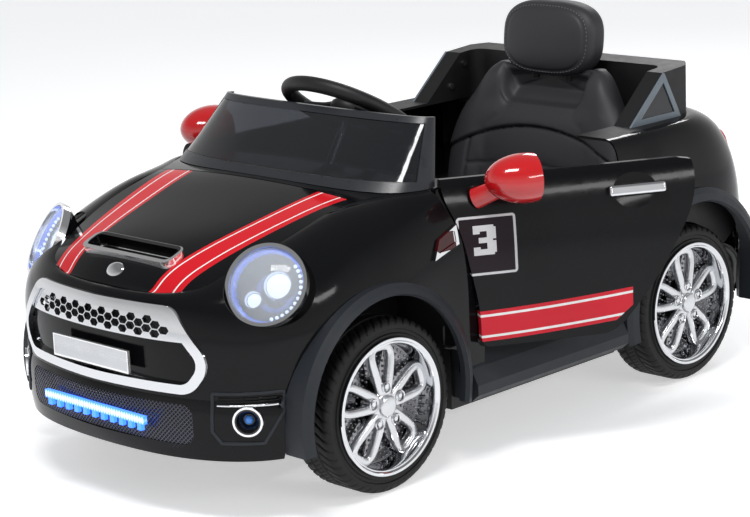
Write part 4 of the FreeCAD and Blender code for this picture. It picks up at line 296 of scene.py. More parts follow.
@dataclass(frozen=True)
class StripedPaint(Finish):
    """Gloss paint with two lengthwise stripes that widen towards the screen.

    Attributes:
        inner: front and rear ends of a stripe's inner edge, as (x, |y|).
        outer: the same for its outer edge.
        pinlines: where the pale lines lie, as shares across the stripe.
    """

    stripe: Colour = (0.62, 0.012, 0.02)
    pinline: Colour = (0.85, 0.83, 0.82)
    inner: Outline = ((0.566, 0.084), (0.311, 0.128))
    outer: Outline = ((0.567, 0.128), (0.303, 0.185))
    pinlines: Outline = ((0.13, 0.18), (0.74, 0.79))

    def pattern(self, bench: MaterialBench, colour: Socket) -> Socket:
        """Share across the stripe is (|y| - inner line) / (outer line - inner line)."""
        x, y, _ = bench.axes(bench.coords)
        edges = []
        for front, rear in (self.inner, self.outer):
            slope = (rear[1] - front[1]) / (rear[0] - front[0])
            edges.append(x * slope + (front[1] - slope * front[0]))
        across = (abs(y) - edges[0]) / (edges[1] - edges[0])
        colour = bench.blend(between(across, 0.0, 1.0), colour, self.stripe)
        return bench.blend(union(between(across, *line) for line in self.pinlines), colour, self.pinline)


@dataclass(frozen=True)
class DoorFinish(Finish):
    """A finish drawn on a door or on what rides on it.

    Attributes:
        side: 1 on the left, -1 on the right.
        swing: how far the door stands open, in degrees.
        hinge: where the left door's hinge stands, as (x, y).
    """

    side: int = 1
    swing: float = 0.0
    hinge: tuple[float, float] = (0.175, 0.2795)

    def shut(self, bench: MaterialBench) -> list[Share]:
        """Coordinates as they are when the door is shut."""
        turn = math.radians(self.swing) * self.side
        hinge = Vector((self.hinge[0], self.hinge[1] * self.side, 0.0))
        return bench.axes(bench.mapped(hinge - Matrix.Rotation(turn, 3, "Z") @ hinge, turn))


@dataclass(frozen=True)
class DoorPaint(DoorFinish):
    """Gloss paint with a rising stripe and a square number plate on the outer face.

    Attributes:
        datum: the x that the door's own length u is counted from, to the rear.
        skin: the |y| past which a point is on the outer face.
        span: where the stripe starts in u, and its length.
        rise: the stripe's foot at its start, and how far it climbs.
        tall: the stripe's height.
        bevel: slope and shift of the line that cuts off the stripe's front.
        plate: the plate's limits in u and in z.
        strokes: the numeral's boxes, as shares across and up the plate.
    """

    datum: float = 0.195
    skin: float = 0.275
    span: tuple[float, float] = (0.034, 0.232)
    rise: tuple[float, float] = (0.172, 0.012)
    tall: float = 0.044
    bevel: tuple[float, float] = (0.80, -0.011)
    pinlines: Outline = ((0.12, 0.20), (0.80, 0.88))
    stripe: Colour = (0.62, 0.02, 0.035)
    pinline: Colour = (0.85, 0.83, 0.82)
    plate_ground: Colour = (0.012, 0.006, 0.009)
    plate_silver: Colour = (0.60, 0.60, 0.61)
    plate: tuple[float, float, float, float] = (0.013, 0.098, 0.267, 0.349)
    strokes: tuple[tuple[float, float, float, float], ...] = (
        (0.27, 0.62, 0.74, 0.84), (0.36, 0.60, 0.545, 0.635), (0.27, 0.62, 0.34, 0.44),
        (0.50, 0.655, 0.375, 0.575), (0.50, 0.655, 0.605, 0.805), (0.27, 0.385, 0.70, 0.84),
        (0.27, 0.385, 0.34, 0.48))

    def pattern(self, bench: MaterialBench, colour: Socket) -> Socket:
        """Draws in the shut door's own length u and height z, on its outer skin alone."""
        x, y, z = self.shut(bench)
        u = self.datum - x
        skin = abs(y) > self.skin
        along = (u - self.span[0]) / self.span[1]
        low = along.at_least(0.0) ** 1.6 * self.rise[1] + self.rise[0]
        across = (z - low) / self.tall
        inside = between(along, 0.0, 1.0) * (z > u * self.bevel[0] + self.bevel[1]) * skin
        colour = bench.blend(inside * between(across, 0.0, 1.0), colour, self.stripe)
        lines = union(between(across, *line) for line in self.pinlines)
        colour = bench.blend(inside * lines, colour, self.pinline)
        left, right, foot, head = self.plate
        p = (u - left) / (right - left)
        p = p if self.side > 0 else 1.0 - p
        q = (z - foot) / (head - foot)
        corner = past(p, 0.5, 0.44) + past(q, 0.5, 0.44)
        colour = bench.blend((corner < 0.06 ** 2) * skin, colour, self.plate_silver)
        colour = bench.blend((corner < 0.018 ** 2) * skin, colour, self.plate_ground)
        boxes = (between(p, a, b) * between(q, c, d) for a, b, c, d in self.strokes)
        return bench.blend(union(boxes) * skin, colour, self.plate_silver)


@dataclass(frozen=True)
class BorderedPlate(Finish):
    """Brushed plate with a pale border along its edge."""

    border: Colour = (0.82, 0.82, 0.82)
    middle: float = 0.2105
    half: tuple[float, float] = (0.079, 0.0155)
    reach: tuple[float, float] = (-0.001, 0.0022)

    def pattern(self, bench: MaterialBench, colour: Socket) -> Socket:
        """The border is where the distance in from the nearer edge lies within its reach."""
        _, y, z = bench.axes(bench.coords)
        depth = (self.half[0] - abs(y)).at_most(self.half[1] - abs(z - self.middle))
        return bench.blend(between(depth, *self.reach), colour, self.border)


@dataclass(frozen=True)
class MirrorShell(DoorFinish):
    """Gloss shell whose oval glass is silvered."""

    middle: tuple[float, float, float] = (0.080, 0.318, 0.404)
    half: tuple[float, float] = (0.0322, 0.0274)
    glass_depth: float = 0.003
    silver: Colour = (0.75, 0.77, 0.80)

    def pattern(self, bench: MaterialBench, colour: Socket) -> Socket:
        """The glass is the oval ((y - y0) / a)^2 + ((z - z0) / b)^2 < 1 at the rear face."""
        x, y, z = self.shut(bench)
        oval = (((y - self.middle[1] * self.side) / self.half[0]) ** 2.0
                + ((z - self.middle[2]) / self.half[1]) ** 2.0) < 1.0
        glass = oval * (x < self.middle[0] + self.glass_depth)
        bench.shade(Metallic=glass)
        return bench.blend(glass, colour, self.silver)


@dataclass(frozen=True)
class AimedShell(Finish):
    """Chrome lamp ring whose shell, seen from behind or deep inside, is dark plastic.

    Attributes:
        middle: a point on the left lamp's axis, in the plane of its rim.
        aim: the way that the left lamp points.
        depth: how far behind the rim the chrome reaches.
        bore: radius inside which the lamp is dark.
    """

    middle: tuple[float, float, float] = (0.0, 0.0, 0.0)
    aim: tuple[float, float, float] = (1.0, 0.0, 0.0)
    depth: float = 0.009
    bore: float = 0.0
    shell: Colour = (0.006, 0.006, 0.007)

    def pattern(self, bench: MaterialBench, colour: Socket) -> Socket:
        """Chrome is where the distances along the axis and from the axis are both large enough."""
        x, y, z = bench.axes(bench.coords)
        x, y, z = x - self.middle[0], abs(y) - self.middle[1], z - self.middle[2]
        along = x * self.aim[0] + y * self.aim[1] + z * self.aim[2]
        around = x ** 2.0 + y ** 2.0 + z ** 2.0 - along ** 2.0
        bright = (along > -self.depth) * (around > self.bore ** 2)
        bench.shade(Metallic=bright)
        return bench.blend(bright, self.shell, colour)


@dataclass(frozen=True)
class FramedDarkMiddle(Finish):
    """Chrome frame round a dark middle, rounded-oblong in two of the car's axes; on the hood scoop this dark
    middle is painted shade of the scoop's opening.

    Attributes:
        axes_used: which two axes the dark middle is drawn in.
        middle: the dark middle's centre in those axes.
        half: its half sizes.
        corner: its corner radius.
        inner_colour: its colour.
    """

    axes_used: tuple[int, int] = (0, 2)
    middle: tuple[float, float] = (0.0, 0.0)
    half: tuple[float, float] = (0.1, 0.1)
    corner: float = 0.01
    # Colour of the dark middle; on the scoop it is painted shade of the opening.
    inner_colour: Colour = (0.004, 0.004, 0.005)

    def pattern(self, bench: MaterialBench, colour: Socket) -> Socket:
        """The dark middle is where the distance past the straight part is under the corner radius."""
        parts = bench.axes(bench.coords)
        first, second = (past(parts[axis], middle, half - self.corner)
                         for axis, middle, half in zip(self.axes_used, self.middle, self.half))
        inside = first + second < self.corner ** 2
        bench.shade(Metallic=1.0 - inside)
        return bench.blend(inside, colour, self.inner_colour)


@dataclass(frozen=True)
class DiodeBar(Finish):
    """Blue light bar with a row of white-hot diodes."""

    pitch: float = 0.0105
    middle: float = 0.1355
    core: float = 0.0030
    hot_colour: Colour = (0.75, 0.88, 1.0)

    def pattern(self, bench: MaterialBench, colour: Socket) -> Socket:
        """Each core is a round spot about the middle of its pitch; its light fades to blue."""
        _, y, z = bench.axes(bench.coords)
        across = (y.ping_pong(self.pitch / 2) - self.pitch / 4) * 2.0
        far = (across ** 2.0 + (z - self.middle) ** 2.0) ** 0.5
        hot = (1.0 - far / (2 * self.core)).at_least(0.0)
        bench.shade(Emission_Color=bench.blend(hot, self.glow_colour, self.hot_colour))
        return colour


PAINT = dict(slot="gloss_black", colour=(0.0045, 0.0047, 0.0055), coat=0.05, specular=0.15, smear=0.03,
             grain_size=0.004, grain_depth=0.000012)
CHROMED = dict(slot="chrome", mottle=0.02, smear=0.03, grain_size=0.006, grain_depth=0.000008)
DULL_CHROMED = dict(slot="chrome", metallic=1.0, grain_size=0.004, grain_depth=0.000012)
RED = dict(slot="red_gloss", colour=(0.55, 0.006, 0.009), coat=0.6, mottle=0.06, grain_depth=0.000006)
LIT = dict(glow_by="glow", grain_depth=0.00001)
BRIGHT = (0.80, 0.81, 0.83)
OPEN_DOOR = dict(side=1, swing=30.0)
SHUT_DOOR = dict(side=-1)

GLOSS_BLACK = Finish("gloss_black_paint", roughness=0.10, **PAINT)
HOOD_PAINT = StripedPaint("striped_black_paint", roughness=0.10, **PAINT)
LEFT_DOOR_PAINT = DoorPaint("left_door_paint", roughness=0.14, **PAINT, **OPEN_DOOR)
RIGHT_DOOR_PAINT = DoorPaint("right_door_paint", roughness=0.14, **PAINT, **SHUT_DOOR)
MATTE_BLACK = Finish("matte_black_plastic", "matte_black", (0.008, 0.008, 0.009), 0.50, specular=0.35,
                     grain_depth=0.00005)
TRIM_GREY = Finish("grained_grey_plastic", "trim_grey", (0.017, 0.020, 0.025), 0.50, specular=0.3,
                   grain_depth=0.00006)
SCREEN_GREY = Finish("satin_grey_plastic", "trim_grey", (0.020, 0.022, 0.026), 0.30, grain_depth=0.00002)
HOOP_TRIM = Finish("silver_grey_plastic", "trim_grey", (0.16, 0.19, 0.22), 0.34, mottle=0.2,
                   grain_depth=0.00004)
CHROME = Finish("bright_chrome", colour=(0.64, 0.65, 0.67), roughness=0.07, metallic=1.0, **CHROMED)
DISC_CHROME = Finish("disc_chrome", colour=(0.24, 0.24, 0.25), roughness=0.12, mottle=0.25, **DULL_CHROMED)
DARK_CHROME = Finish("smoked_chrome", colour=(0.075, 0.077, 0.095), roughness=0.22, mottle=0.06,
                     **DULL_CHROMED)
PLATE_METAL = BorderedPlate("brushed_plate", "aluminium", (0.55, 0.56, 0.58), 0.34, metallic=1.0,
                            smear=0.12, grain=Grain.BRUSHED, grain_size=0.0008, grain_depth=0.00003)
TYRE_BLACK = Finish("tyre_black", "tyre", (0.006, 0.006, 0.0065), 0.55, specular=0.25, grain_size=0.002,
                    grain_depth=0.00006)
SPOKE_SILVER = Finish("spoke_silver", "silver", (0.62, 0.63, 0.65), 0.24, metallic=0.9, mottle=0.05,
                      coat=0.3, grain_size=0.001, grain_depth=0.000012)
STEEL = Finish("plain_steel", "steel", (0.42, 0.42, 0.43), 0.32, metallic=1.0, smear=0.1,
               grain=Grain.BRUSHED, grain_size=0.001, grain_depth=0.00002)
CLEAR = Finish("clear_lens", "clear_lens", (0.95, 0.97, 1.0), 0.02, clear=1.0, mottle=0.02, smear=0.01,
               grain_size=0.006, grain_depth=0.000006)
TINTED = Finish("tinted_pane", "tinted_glass", (0.055, 0.060, 0.072), 0.04, clear=0.85, mottle=0.05,
                smear=0.02, grain_size=0.01, grain_depth=0.000006)
LAMP_SHELL = AimedShell("lamp_shell", colour=BRIGHT, roughness=0.08, middle=(0.490, 0.229, 0.312),
                        aim=(0.7716, 0.3932, 0.5), **CHROMED)
FOG_SHELL = AimedShell("fog_shell", colour=BRIGHT, roughness=0.10, middle=(0.528, 0.224, 0.142),
                       aim=(0.788, 0.6157, 0.0), depth=0.05, bore=0.0172, **CHROMED)
# The scoop's dark middle is painted shade: the shaded inside of its opening, painted on the closed scoop.
SCOOP = FramedDarkMiddle("scoop_frame", colour=(0.92, 0.92, 0.93), roughness=0.16, axes_used=(0, 1),
                     middle=(0.520, 0.0), half=(0.0150, 0.0865), corner=0.011, **CHROMED)
VENT = FramedDarkMiddle("vent_frame", colour=BRIGHT, roughness=0.10, axes_used=(0, 2), middle=(0.213, 0.3235),
                    half=(0.0190, 0.0125), corner=0.005, inner_colour=(0.05, 0.004, 0.005), **CHROMED)
LIGHT_BAR = DiodeBar("diode_bar", "blue_light", (0.05, 0.12, 0.9), 0.2, glow=2.6,
                     glow_colour=(0.03, 0.16, 1.0), grain_depth=0.00002)
BLUE_LED = Finish("blue_light", "blue_light", (0.05, 0.12, 0.9), 0.25, glow=3.2,
                  glow_colour=(0.02, 0.12, 1.0), grain_depth=0.00003)
LAMP_WHITE = Finish("cool_white_light", "clear_lens", (0.45, 0.55, 0.80), 0.15, glow=1.0,
                    glow_colour=(0.70, 0.82, 1.0), **LIT)
LIT_CHROME = Finish("lit_reflector", "chrome", (0.15, 0.19, 0.31), 0.16, metallic=1.0, mottle=0.10,
                    glow=0.9, glow_colour=(0.04, 0.15, 1.0), **LIT)
RED_LENS = Finish("red_lens", "red_lens", (0.42, 0.006, 0.008), 0.08, clear=0.25, coat=0.5,
                  grain_size=0.003, grain_depth=0.00008)
RED_GLOSS = Finish("red_gloss_plastic", roughness=0.12, **RED)
LEFT_MIRROR = MirrorShell("left_mirror_red", roughness=0.13, **RED, **OPEN_DOOR)
RIGHT_MIRROR = MirrorShell("right_mirror_red", roughness=0.13, **RED, **SHUT_DOOR)
LEATHER = Finish("black_leather", "black_leather", (0.009, 0.009, 0.0105), 0.42, specular=0.4,
                 grain=Grain.LEATHER, mottle=0.25, smear=0.1, grain_size=0.0011, grain_depth=0.00012)
THREAD = Finish("grey_thread", "black_leather", (0.16, 0.16, 0.17), 0.7, grain_size=0.0006,
                grain_depth=0.0001)
CASE_BLACK = Finish("case_black_plastic", "case_black", (0.02, 0.02, 0.021), 0.45, grain_depth=0.00005)

NODE_FINISHES: dict[Finish, tuple[str, ...]] = {
    GLOSS_BLACK: ("front_body", "rear_body", "scuttle_panel", "front_bumper", "rear_bumper", "grille_panel"),
    HOOD_PAINT: ("hood",),
    LEFT_DOOR_PAINT: ("left_door",),
    RIGHT_DOOR_PAINT: ("right_door",),
    MATTE_BLACK: ("chassis_tub", "dashboard", "rear_deck", "accelerator_pedal", "hinge_pillars",
                  "bumper_mesh", "horn_pad", "front_axle_beam"),
    TRIM_GREY: ("flares_and_sills",),
    SCREEN_GREY: ("windscreen_frame",),
    HOOP_TRIM: ("quarter_trims",),
    CHROME: ("grille_surround", "grille_honeycomb", "left_door_handle", "right_door_handle"),
    LAMP_SHELL: ("headlamp_bowls",),
    FOG_SHELL: ("fog_lamps",),
    SCOOP: ("hood_scoop",),
    VENT: ("side_vents",),
    PLATE_METAL: ("number_plate",),
    STEEL: ("rear_axle", "left_knuckle", "right_knuckle", "tie_rod", "steering_column", "deck_screws"),
    CLEAR: ("headlamp_lenses",),
    TINTED: ("tinted_panes",),
    LIGHT_BAR: ("light_bar",),
    RED_LENS: ("tail_lamps",),
    RED_GLOSS: ("direction_rocker", "start_button"),
    LEFT_MIRROR: ("left_mirror",),
    RIGHT_MIRROR: ("right_mirror",),
    CASE_BLACK: ("battery", "control_unit", "left_drive", "right_drive"),
}


def grid_faces(rows: int, cols: int, close_rows: bool = False) -> np.ndarray:
    """Four-cornered faces between the neighbours of a grid of points whose rows join their own start.

    Args:
        rows: rows of the grid.
        cols: points in a row.
        close_rows: whether the last row joins the first.

    Returns:
        An array of four indices for each face.
    """
    r = np.arange(rows if close_rows else rows - 1)[:, None]
    c = np.arange(cols)[None, :]
    up, on = (r + 1) % rows, (c + 1) % cols
    return np.stack([r * cols + c, r * cols + on, up * cols + on, up * cols + c], -1).reshape(-1, 4)


def sheet(grid: np.ndarray, close_rows: bool = False) -> Mesh:
    """A (rows, points, 3) grid as points and faces."""
    return grid.reshape(-1, 3), grid_faces(*grid.shape[:2], close_rows)


def many(points: np.ndarray, faces: np.ndarray) -> Mesh:
    """Joins copies of one mesh given as (copies, points, 3) into one list of points and faces."""
    copies, count = points.shape[:2]
    shifted = faces[None] + (np.arange(copies) * count)[:, None, None]
    return points.reshape(-1, 3), shifted.reshape(-1, faces.shape[1])


def angles(count: int) -> np.ndarray:
    """Even angles round a circle, from 0."""
    return np.linspace(0, TURN, count, endpoint=False)


def round_axle(radius: np.ndarray, along: np.ndarray, turn: np.ndarray) -> np.ndarray:
    """Points about the local Y axis: (r cos t, y, r sin t)."""
    return np.stack(np.broadcast_arrays(radius * np.cos(turn), along, radius * np.sin(turn)), -1)


def lathe(profile: Outline, steps: int) -> Mesh:
    """A closed outline of (radius, along) turned about the local Y axis."""
    r, y = np.asarray(profile, float).T[..., None]
    return sheet(round_axle(r, y, angles(steps)), True)


def domed(foot: Outline, radius: float, base: float, rise: float, steps: int = 10) -> Outline:
    """An outline whose end is a dome: (r cos t, base + rise sin t), drawn to the axis."""
    dome = np.linspace(0, math.pi / 2, steps)[:-1]
    return [*foot, *zip(radius * np.cos(dome), base + rise * np.sin(dome)), (POLE, base + rise)]


def balls(centres: np.ndarray, radii: Sequence[float], basis: np.ndarray, lat: int, lon: int) -> Mesh:
    """Small ovals: centre + a cos(b) cos(t) e1 + b cos(b) sin(t) e2 + c sin(b) e3.

    Args:
        centres: (n, 3) middles.
        radii: half sizes along the three axes.
        basis: (3, 3) or (n, 3, 3) axes as rows.
        lat: steps from pole to pole.
        lon: steps round.

    Returns:
        Points and faces of all of them.
    """
    rise, turn = np.linspace(-math.pi / 2, math.pi / 2, lat)[:, None], angles(lon)[None, :]
    ball = np.stack([np.cos(rise) * np.cos(turn), np.cos(rise) * np.sin(turn), np.sin(rise) + 0 * turn], -1)
    ball = (ball * np.asarray(radii)).reshape(-1, 3)
    axes = np.broadcast_to(basis, (len(centres), 3, 3))
    points = centres[:, None, :] + np.einsum("pk,nkj->npj", ball, axes)
    return many(points, grid_faces(lat, lon))


def sweep(path: np.ndarray, side: np.ndarray, lift: np.ndarray, section: np.ndarray, closed: bool) -> Mesh:
    """A section carried along a path: path + s0 side + s1 lift, closed or with ends drawn to a point.

    Args:
        path: (n, 3) points.
        side: direction of the section's first number, or one for each point.
        lift: direction of its second.
        section: (m, 2) closed outline, or (n, m, 2) where it changes.
        closed: whether the path joins its own start.

    Returns:
        Points and faces.
    """
    side, lift = (np.broadcast_to(way, path.shape)[:, None] for way in (side, lift))
    section = np.broadcast_to(section, (len(path),) + section.shape[-2:])
    points = path[:, None] + section[..., :1] * side + section[..., 1:] * lift
    if not closed:
        ends = [np.repeat(path[k][None, None], points.shape[1], 1) for k in (0, -1)]
        points = np.concatenate([ends[0], points, ends[1]])
    return sheet(points, closed)


def oval(half_side: float, half_lift: float, turn: np.ndarray, power: float = 2.0) -> np.ndarray:
    """A rounded outline: (a |cos|^(2/p), b |sin|^(2/p)) with their signs."""
    c, s = (np.sign(v) * np.abs(v) ** (2 / power) for v in (np.cos(turn), np.sin(turn)))
    return np.stack([half_side * c, half_lift * s], -1)


def through(knots: Sequence[float], values: np.ndarray, at: np.ndarray) -> np.ndarray:
    """A smooth curve through rows of numbers: cubic pieces whose slopes are those of the neighbours."""
    knots, values = np.asarray(knots, float), np.asarray(values, float)
    slope = np.gradient(values, knots, axis=0)
    i = np.clip(np.searchsorted(knots, at, side="right") - 1, 0, len(knots) - 2)
    h = (knots[i + 1] - knots[i])[:, None]
    t = ((at - knots[i]) / h[:, 0])[:, None]
    return ((2 * t ** 3 - 3 * t ** 2 + 1) * values[i] + (t ** 3 - 2 * t ** 2 + t) * h * slope[i]
            + (3 * t ** 2 - 2 * t ** 3) * values[i + 1] + (t ** 3 - t ** 2) * h * slope[i + 1])


def step(low: float, high: float, value: np.ndarray) -> np.ndarray:
    """Rises smoothly from 0 at low to 1 at high."""
    t = np.clip((value - low) / (high - low), 0, 1)
    return t * t * (3 - 2 * t)


def pulse(rise: tuple[float, float], fall: tuple[float, float], value: np.ndarray) -> np.ndarray:
    """Rises smoothly to 1 over one range and falls back over another."""
    return step(*rise, value) * (1 - step(*fall, value))


def bell(value: np.ndarray, width: float) -> np.ndarray:
    """A bell of height 1: exp(-(v / w)^2)."""
    return np.exp(-(value / width) ** 2)


def unit(ways: np.ndarray) -> np.ndarray:
    """Directions of length 1."""
    return ways / np.maximum(np.linalg.norm(ways, axis=-1, keepdims=True), TINY)


def run_along(path: np.ndarray) -> np.ndarray:
    """Distance from a line's start to each of its points."""
    return np.concatenate([[0], np.cumsum(np.linalg.norm(np.diff(path, axis=0), axis=1))])


def shrunk(row: np.ndarray, share: float, rise: float = 0.0) -> np.ndarray:
    """A row of points drawn towards its middle and raised."""
    middle = row.mean(0)
    return middle + (row - middle) * share + np.array([0, 0, rise])


def piece(name: str, made: Mesh, finish: Finish, body: str = "chassis", stands_for: Sequence[str] = (),
          crease: float = 38.0, glow: Optional[np.ndarray] = None) -> bpy.types.Object:
    """Makes a mesh object in the shared frame, closes its poles and dresses it.

    Args:
        name: the object's name.
        made: (n, 3) points in metres, and (m, 4) indices.
        finish: what it is made of.
        body: the CAD body it moves with.
        stands_for: CAD nodes that it replaces.
        crease: edges sharper than this angle stay sharp, in degrees.
        glow: light of each point, from 0 to 1.

    Returns:
        The object.
    """
    mesh = bpy.data.meshes.new(name)
    mesh.from_pydata(made[0].tolist(), [], made[1].tolist())
    if glow is not None:
        mesh.attributes.new("glow", "FLOAT", "POINT").data.foreach_set("value", glow.astype(np.float32))
    work = bmesh.new()
    work.from_mesh(mesh)
    bmesh.ops.remove_doubles(work, verts=work.verts, dist=1e-6)
    bmesh.ops.dissolve_degenerate(work, edges=work.edges, dist=1e-6)
    bmesh.ops.recalc_face_normals(work, faces=work.faces)
    work.to_mesh(mesh)
    work.free()
    mesh.polygons.foreach_set("use_smooth", np.ones(len(mesh.polygons), bool))
    mesh.set_sharp_from_angle(angle=math.radians(crease))
    mesh.materials.append(finish.material())
    made = bpy.data.objects.new(name, mesh)
    bpy.context.scene.collection.objects.link(made)
    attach(made, body)
    if stands_for:
        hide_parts(*stands_for)
    log.info("piece %s: %d faces", name, len(mesh.polygons))
    return made


class Skin:
    """Samples the outside of CAD nodes along one direction."""

    def __init__(self, nodes: Sequence[str], origin: Sequence[float],
                 basis: Sequence[Sequence[float]]) -> None:
        """Keeps the nodes' triangles for rays.

        Args:
            nodes: names of the CAD nodes.
            origin: a point outside the nodes.
            basis: rows are the two directions across and the direction of the rays' return.
        """
        all_corners, all_index = [], []
        for node in nodes:
            mesh = frame["nodes"][node].data
            mesh.calc_loop_triangles()
            corners = np.zeros(len(mesh.vertices) * 3, np.float32)
            mesh.vertices.foreach_get("co", corners)
            index = np.zeros(len(mesh.loop_triangles) * 3, np.int32)
            mesh.loop_triangles.foreach_get("vertices", index)
            all_index += (index.reshape(-1, 3) + len(all_corners)).tolist()
            all_corners += corners.reshape(-1, 3).tolist()
        self.tree = BVHTree.FromPolygons(all_corners, all_index)
        self.origin, self.basis = np.asarray(origin, float), np.asarray(basis, float)

    def height(self, a: np.ndarray, b: np.ndarray, cells: int = 48) -> np.ndarray:
        """Height of the skin at places (a, b) across, read from a coarse grid of rays."""
        lines = [np.linspace(v.min(), v.max() + TINY, cells) for v in (a, b)]
        back = Vector(-self.basis[2])
        table = np.full((cells, cells), np.nan)
        for i, j in np.ndindex(cells, cells):
            start = self.origin + lines[0][i] * self.basis[0] + lines[1][j] * self.basis[1]
            hit = self.tree.ray_cast(Vector(start), back)
            if hit[0] is not None:
                table[i, j] = -hit[3]
        table = np.where(np.isnan(table), np.nanmean(table), table)
        i, j = [np.clip((v - l[0]) / (l[1] - l[0]), 0, cells - 1.001) for v, l in zip((a, b), lines)]
        i0, j0 = i.astype(int), j.astype(int)
        fi, fj = i - i0, j - j0
        return ((1 - fi) * (1 - fj) * table[i0, j0] + fi * (1 - fj) * table[i0 + 1, j0]
                + (1 - fi) * fj * table[i0, j0 + 1] + fi * fj * table[i0 + 1, j0 + 1])

    def place(self, a: np.ndarray, b: np.ndarray, proud: float) -> np.ndarray:
        """Points that stand a little proud of the skin at places (a, b) across."""
        high = self.height(a, b) + proud
        return (self.origin + a[..., None] * self.basis[0] + b[..., None] * self.basis[1]
                + high[..., None] * self.basis[2])


@dataclass
class RoadWheel:
    """One tyre with its rim, studded disc, loop spokes, nuts and cap.

    Attributes:
        end: "front" or "rear".
        side_name: "left" or "right".
        wall: the side wall from the bead out, as (radius - rim, distance in from the outer face).
        lip: the rim's lip, as (radius, distance out from the tyre's outer face).
        barrel: the rest of the rim's outline, as (radius, along).
        stud_rows: radius and count of each row of domes.
        loop_reach: least and greatest radius of a loop spoke's middle line.
        nut_circle: radius of the circle that the nuts stand on.
    """

    end: str
    side_name: str
    axle: float = 0.332
    track_half: float = 0.250
    radius: float = 0.120
    half_width: float = 0.036
    rim: float = 0.090
    shoulder: float = 0.010
    shoulder_in: float = 0.0010
    tread_in: float = 0.0118
    lugs: int = 52
    groove: float = 0.0021
    disc: float = 0.008
    spokes: int = 5
    wall: Outline = ((0, 0.004), (0.002, 0.0012), (0.0065, 0.0002), (0.0080, 0), (0.0095, 0.0002),
                     (0.0105, 0.0022), (0.0150, 0.0024), (0.0160, 0.0010))
    lip: Outline = ((0.0898, -0.0040), (0.0915, -0.0002), (0.0945, 0.0006), (0.0950, 0.0022),
                    (0.0944, 0.0036), (0.0930, 0.0040), (0.0908, 0.0036), (0.0896, 0.0020),
                    (0.0886, 0.0012), (0.0872, 0.0012), (0.0862, -0.0010), (0.0858, -0.0060))
    barrel: Outline = ((0.0852, 0.0180), (0.0848, 0.0104), (0.0836, 0.008), (0.0800, 0.008),
                       (0.0320, 0.008), (0.0170, 0.008), (0.0155, 0.0120), (0.0066, 0.0120),
                       (0.0066, -0.0330), (0.0150, -0.0330), (0.0150, 0.0040), (0.0840, 0.0040),
                       (0.0858, 0.0010), (0.0858, -0.032))
    plate: Outline = ((0.0170, 0.007), (0.0170, 0.0084), (0.0834, 0.0084), (0.0834, 0.007))
    boss: Outline = ((POLE, 0.0160), (0.0205, 0.0160), (0.0228, 0.0200), (0.0225, 0.0250), (0.0190, 0.0290),
                     (0.0160, 0.0300), (0.0156, 0.0290), (POLE, 0.0290))
    cap_foot: Outline = ((POLE, 0.0285), (0.0145, 0.0285), (0.0148, 0.0320))
    collar: Outline = ((POLE, 0.014), (0.0080, 0.014), (0.0082, 0.0312), (0.0074, 0.0322), (0.0062, 0.0312),
                       (0.0060, 0.0260), (POLE, 0.0260))
    nut: Outline = ((POLE, 0.024), (0.0042, 0.024), (0.0042, 0.0300), (0.0034, 0.0310), (POLE, 0.0310))
    nut_circle: float = 0.0268
    stud_rows: tuple[tuple[float, int], ...] = (
        (0.037, 28), (0.044, 34), (0.051, 40), (0.058, 46), (0.065, 50), (0.072, 56), (0.079, 60))
    stud: tuple[float, float, float] = (0.0021, 0.0021, 0.0024)
    loop_reach: tuple[float, float] = (0.0165, 0.0815)

    @property
    def corner(self) -> str:
        """The wheel's name."""
        return f"{self.end}_{self.side_name}"

    @property
    def headings(self) -> np.ndarray:
        """Angles of the spokes, the first straight up."""
        return angles(self.spokes) + math.radians(90)

    def stand(self, points: np.ndarray) -> np.ndarray:
        """Carries points from the wheel's own frame, axle along Y and outer face at +Y, to the car."""
        side = 1 if self.side_name == "left" else -1
        along = self.axle if self.end == "front" else -self.axle
        return points * np.array([side, side, 1.0]) + np.array([along, side * self.track_half, self.radius])

    def show(self, name: str, made: Mesh, finish: Finish, stands_for: Sequence[str] = ()) -> None:
        """Places one piece of the wheel."""
        placed = self.stand(made[0]), made[1]
        piece(f"{self.corner}_{name}", placed, finish, f"{self.corner}_wheel", stands_for)

    def tyre(self) -> None:
        """Turns the tyre's outline, with blocks cut into the tread.

        The outline runs bead, side wall with two raised rings, shoulder arc and
        tread. A groove lowers the radius where the tread angle times the lug
        count, slanted by the distance from the middle, falls in a narrow share.
        """
        w, top = self.half_width, self.radius
        arc = np.linspace(0, math.pi / 2, 9)
        upper = [(self.rim + r, w - back) for r, back in self.wall]
        upper += zip(top - self.shoulder * (1 - np.sin(arc)),
                     w - self.shoulder_in - self.shoulder * (1 - np.cos(arc)))
        tread = [(top, y) for y in np.linspace(w - self.tread_in, self.tread_in - w, 33)]
        bead = [(self.rim, y) for y in np.linspace(0.006 - w, w - 0.006, 6)]
        outline = np.array(upper + tread + [(r, -y) for r, y in reversed(upper)] + bead)
        turn = angles(self.lugs * 10)[None, :]
        r, y = outline[:, :1], outline[:, 1:]
        far, on_tread = np.abs(y), r > top - 0.001
        cycle = (turn * self.lugs / TURN + far / 0.022 + 0.25 * (y > 0)) % 1.0
        fine = (turn * self.lugs * 2 / TURN - y / 0.011) % 1.0
        blocks = pulse((0.0, 0.10), (0.22, 0.32), cycle) * step(0.0115, 0.0130, far)
        blocks = blocks * step(top - 0.0085, top - 0.0070, r)
        cuts = 0.55 * pulse((0.0, 0.12), (0.2, 0.32), fine) * (1 - step(0.0055, 0.0065, far)) * on_tread
        rings = pulse((0.0075, 0.0085), (0.0105, 0.0115), far) * on_tread
        depth = self.groove * np.maximum(np.maximum(blocks, cuts), rings)
        self.show("tread", sheet(round_axle(r - depth, y, turn), True), TYRE_BLACK, [self.corner + "_tyre"])

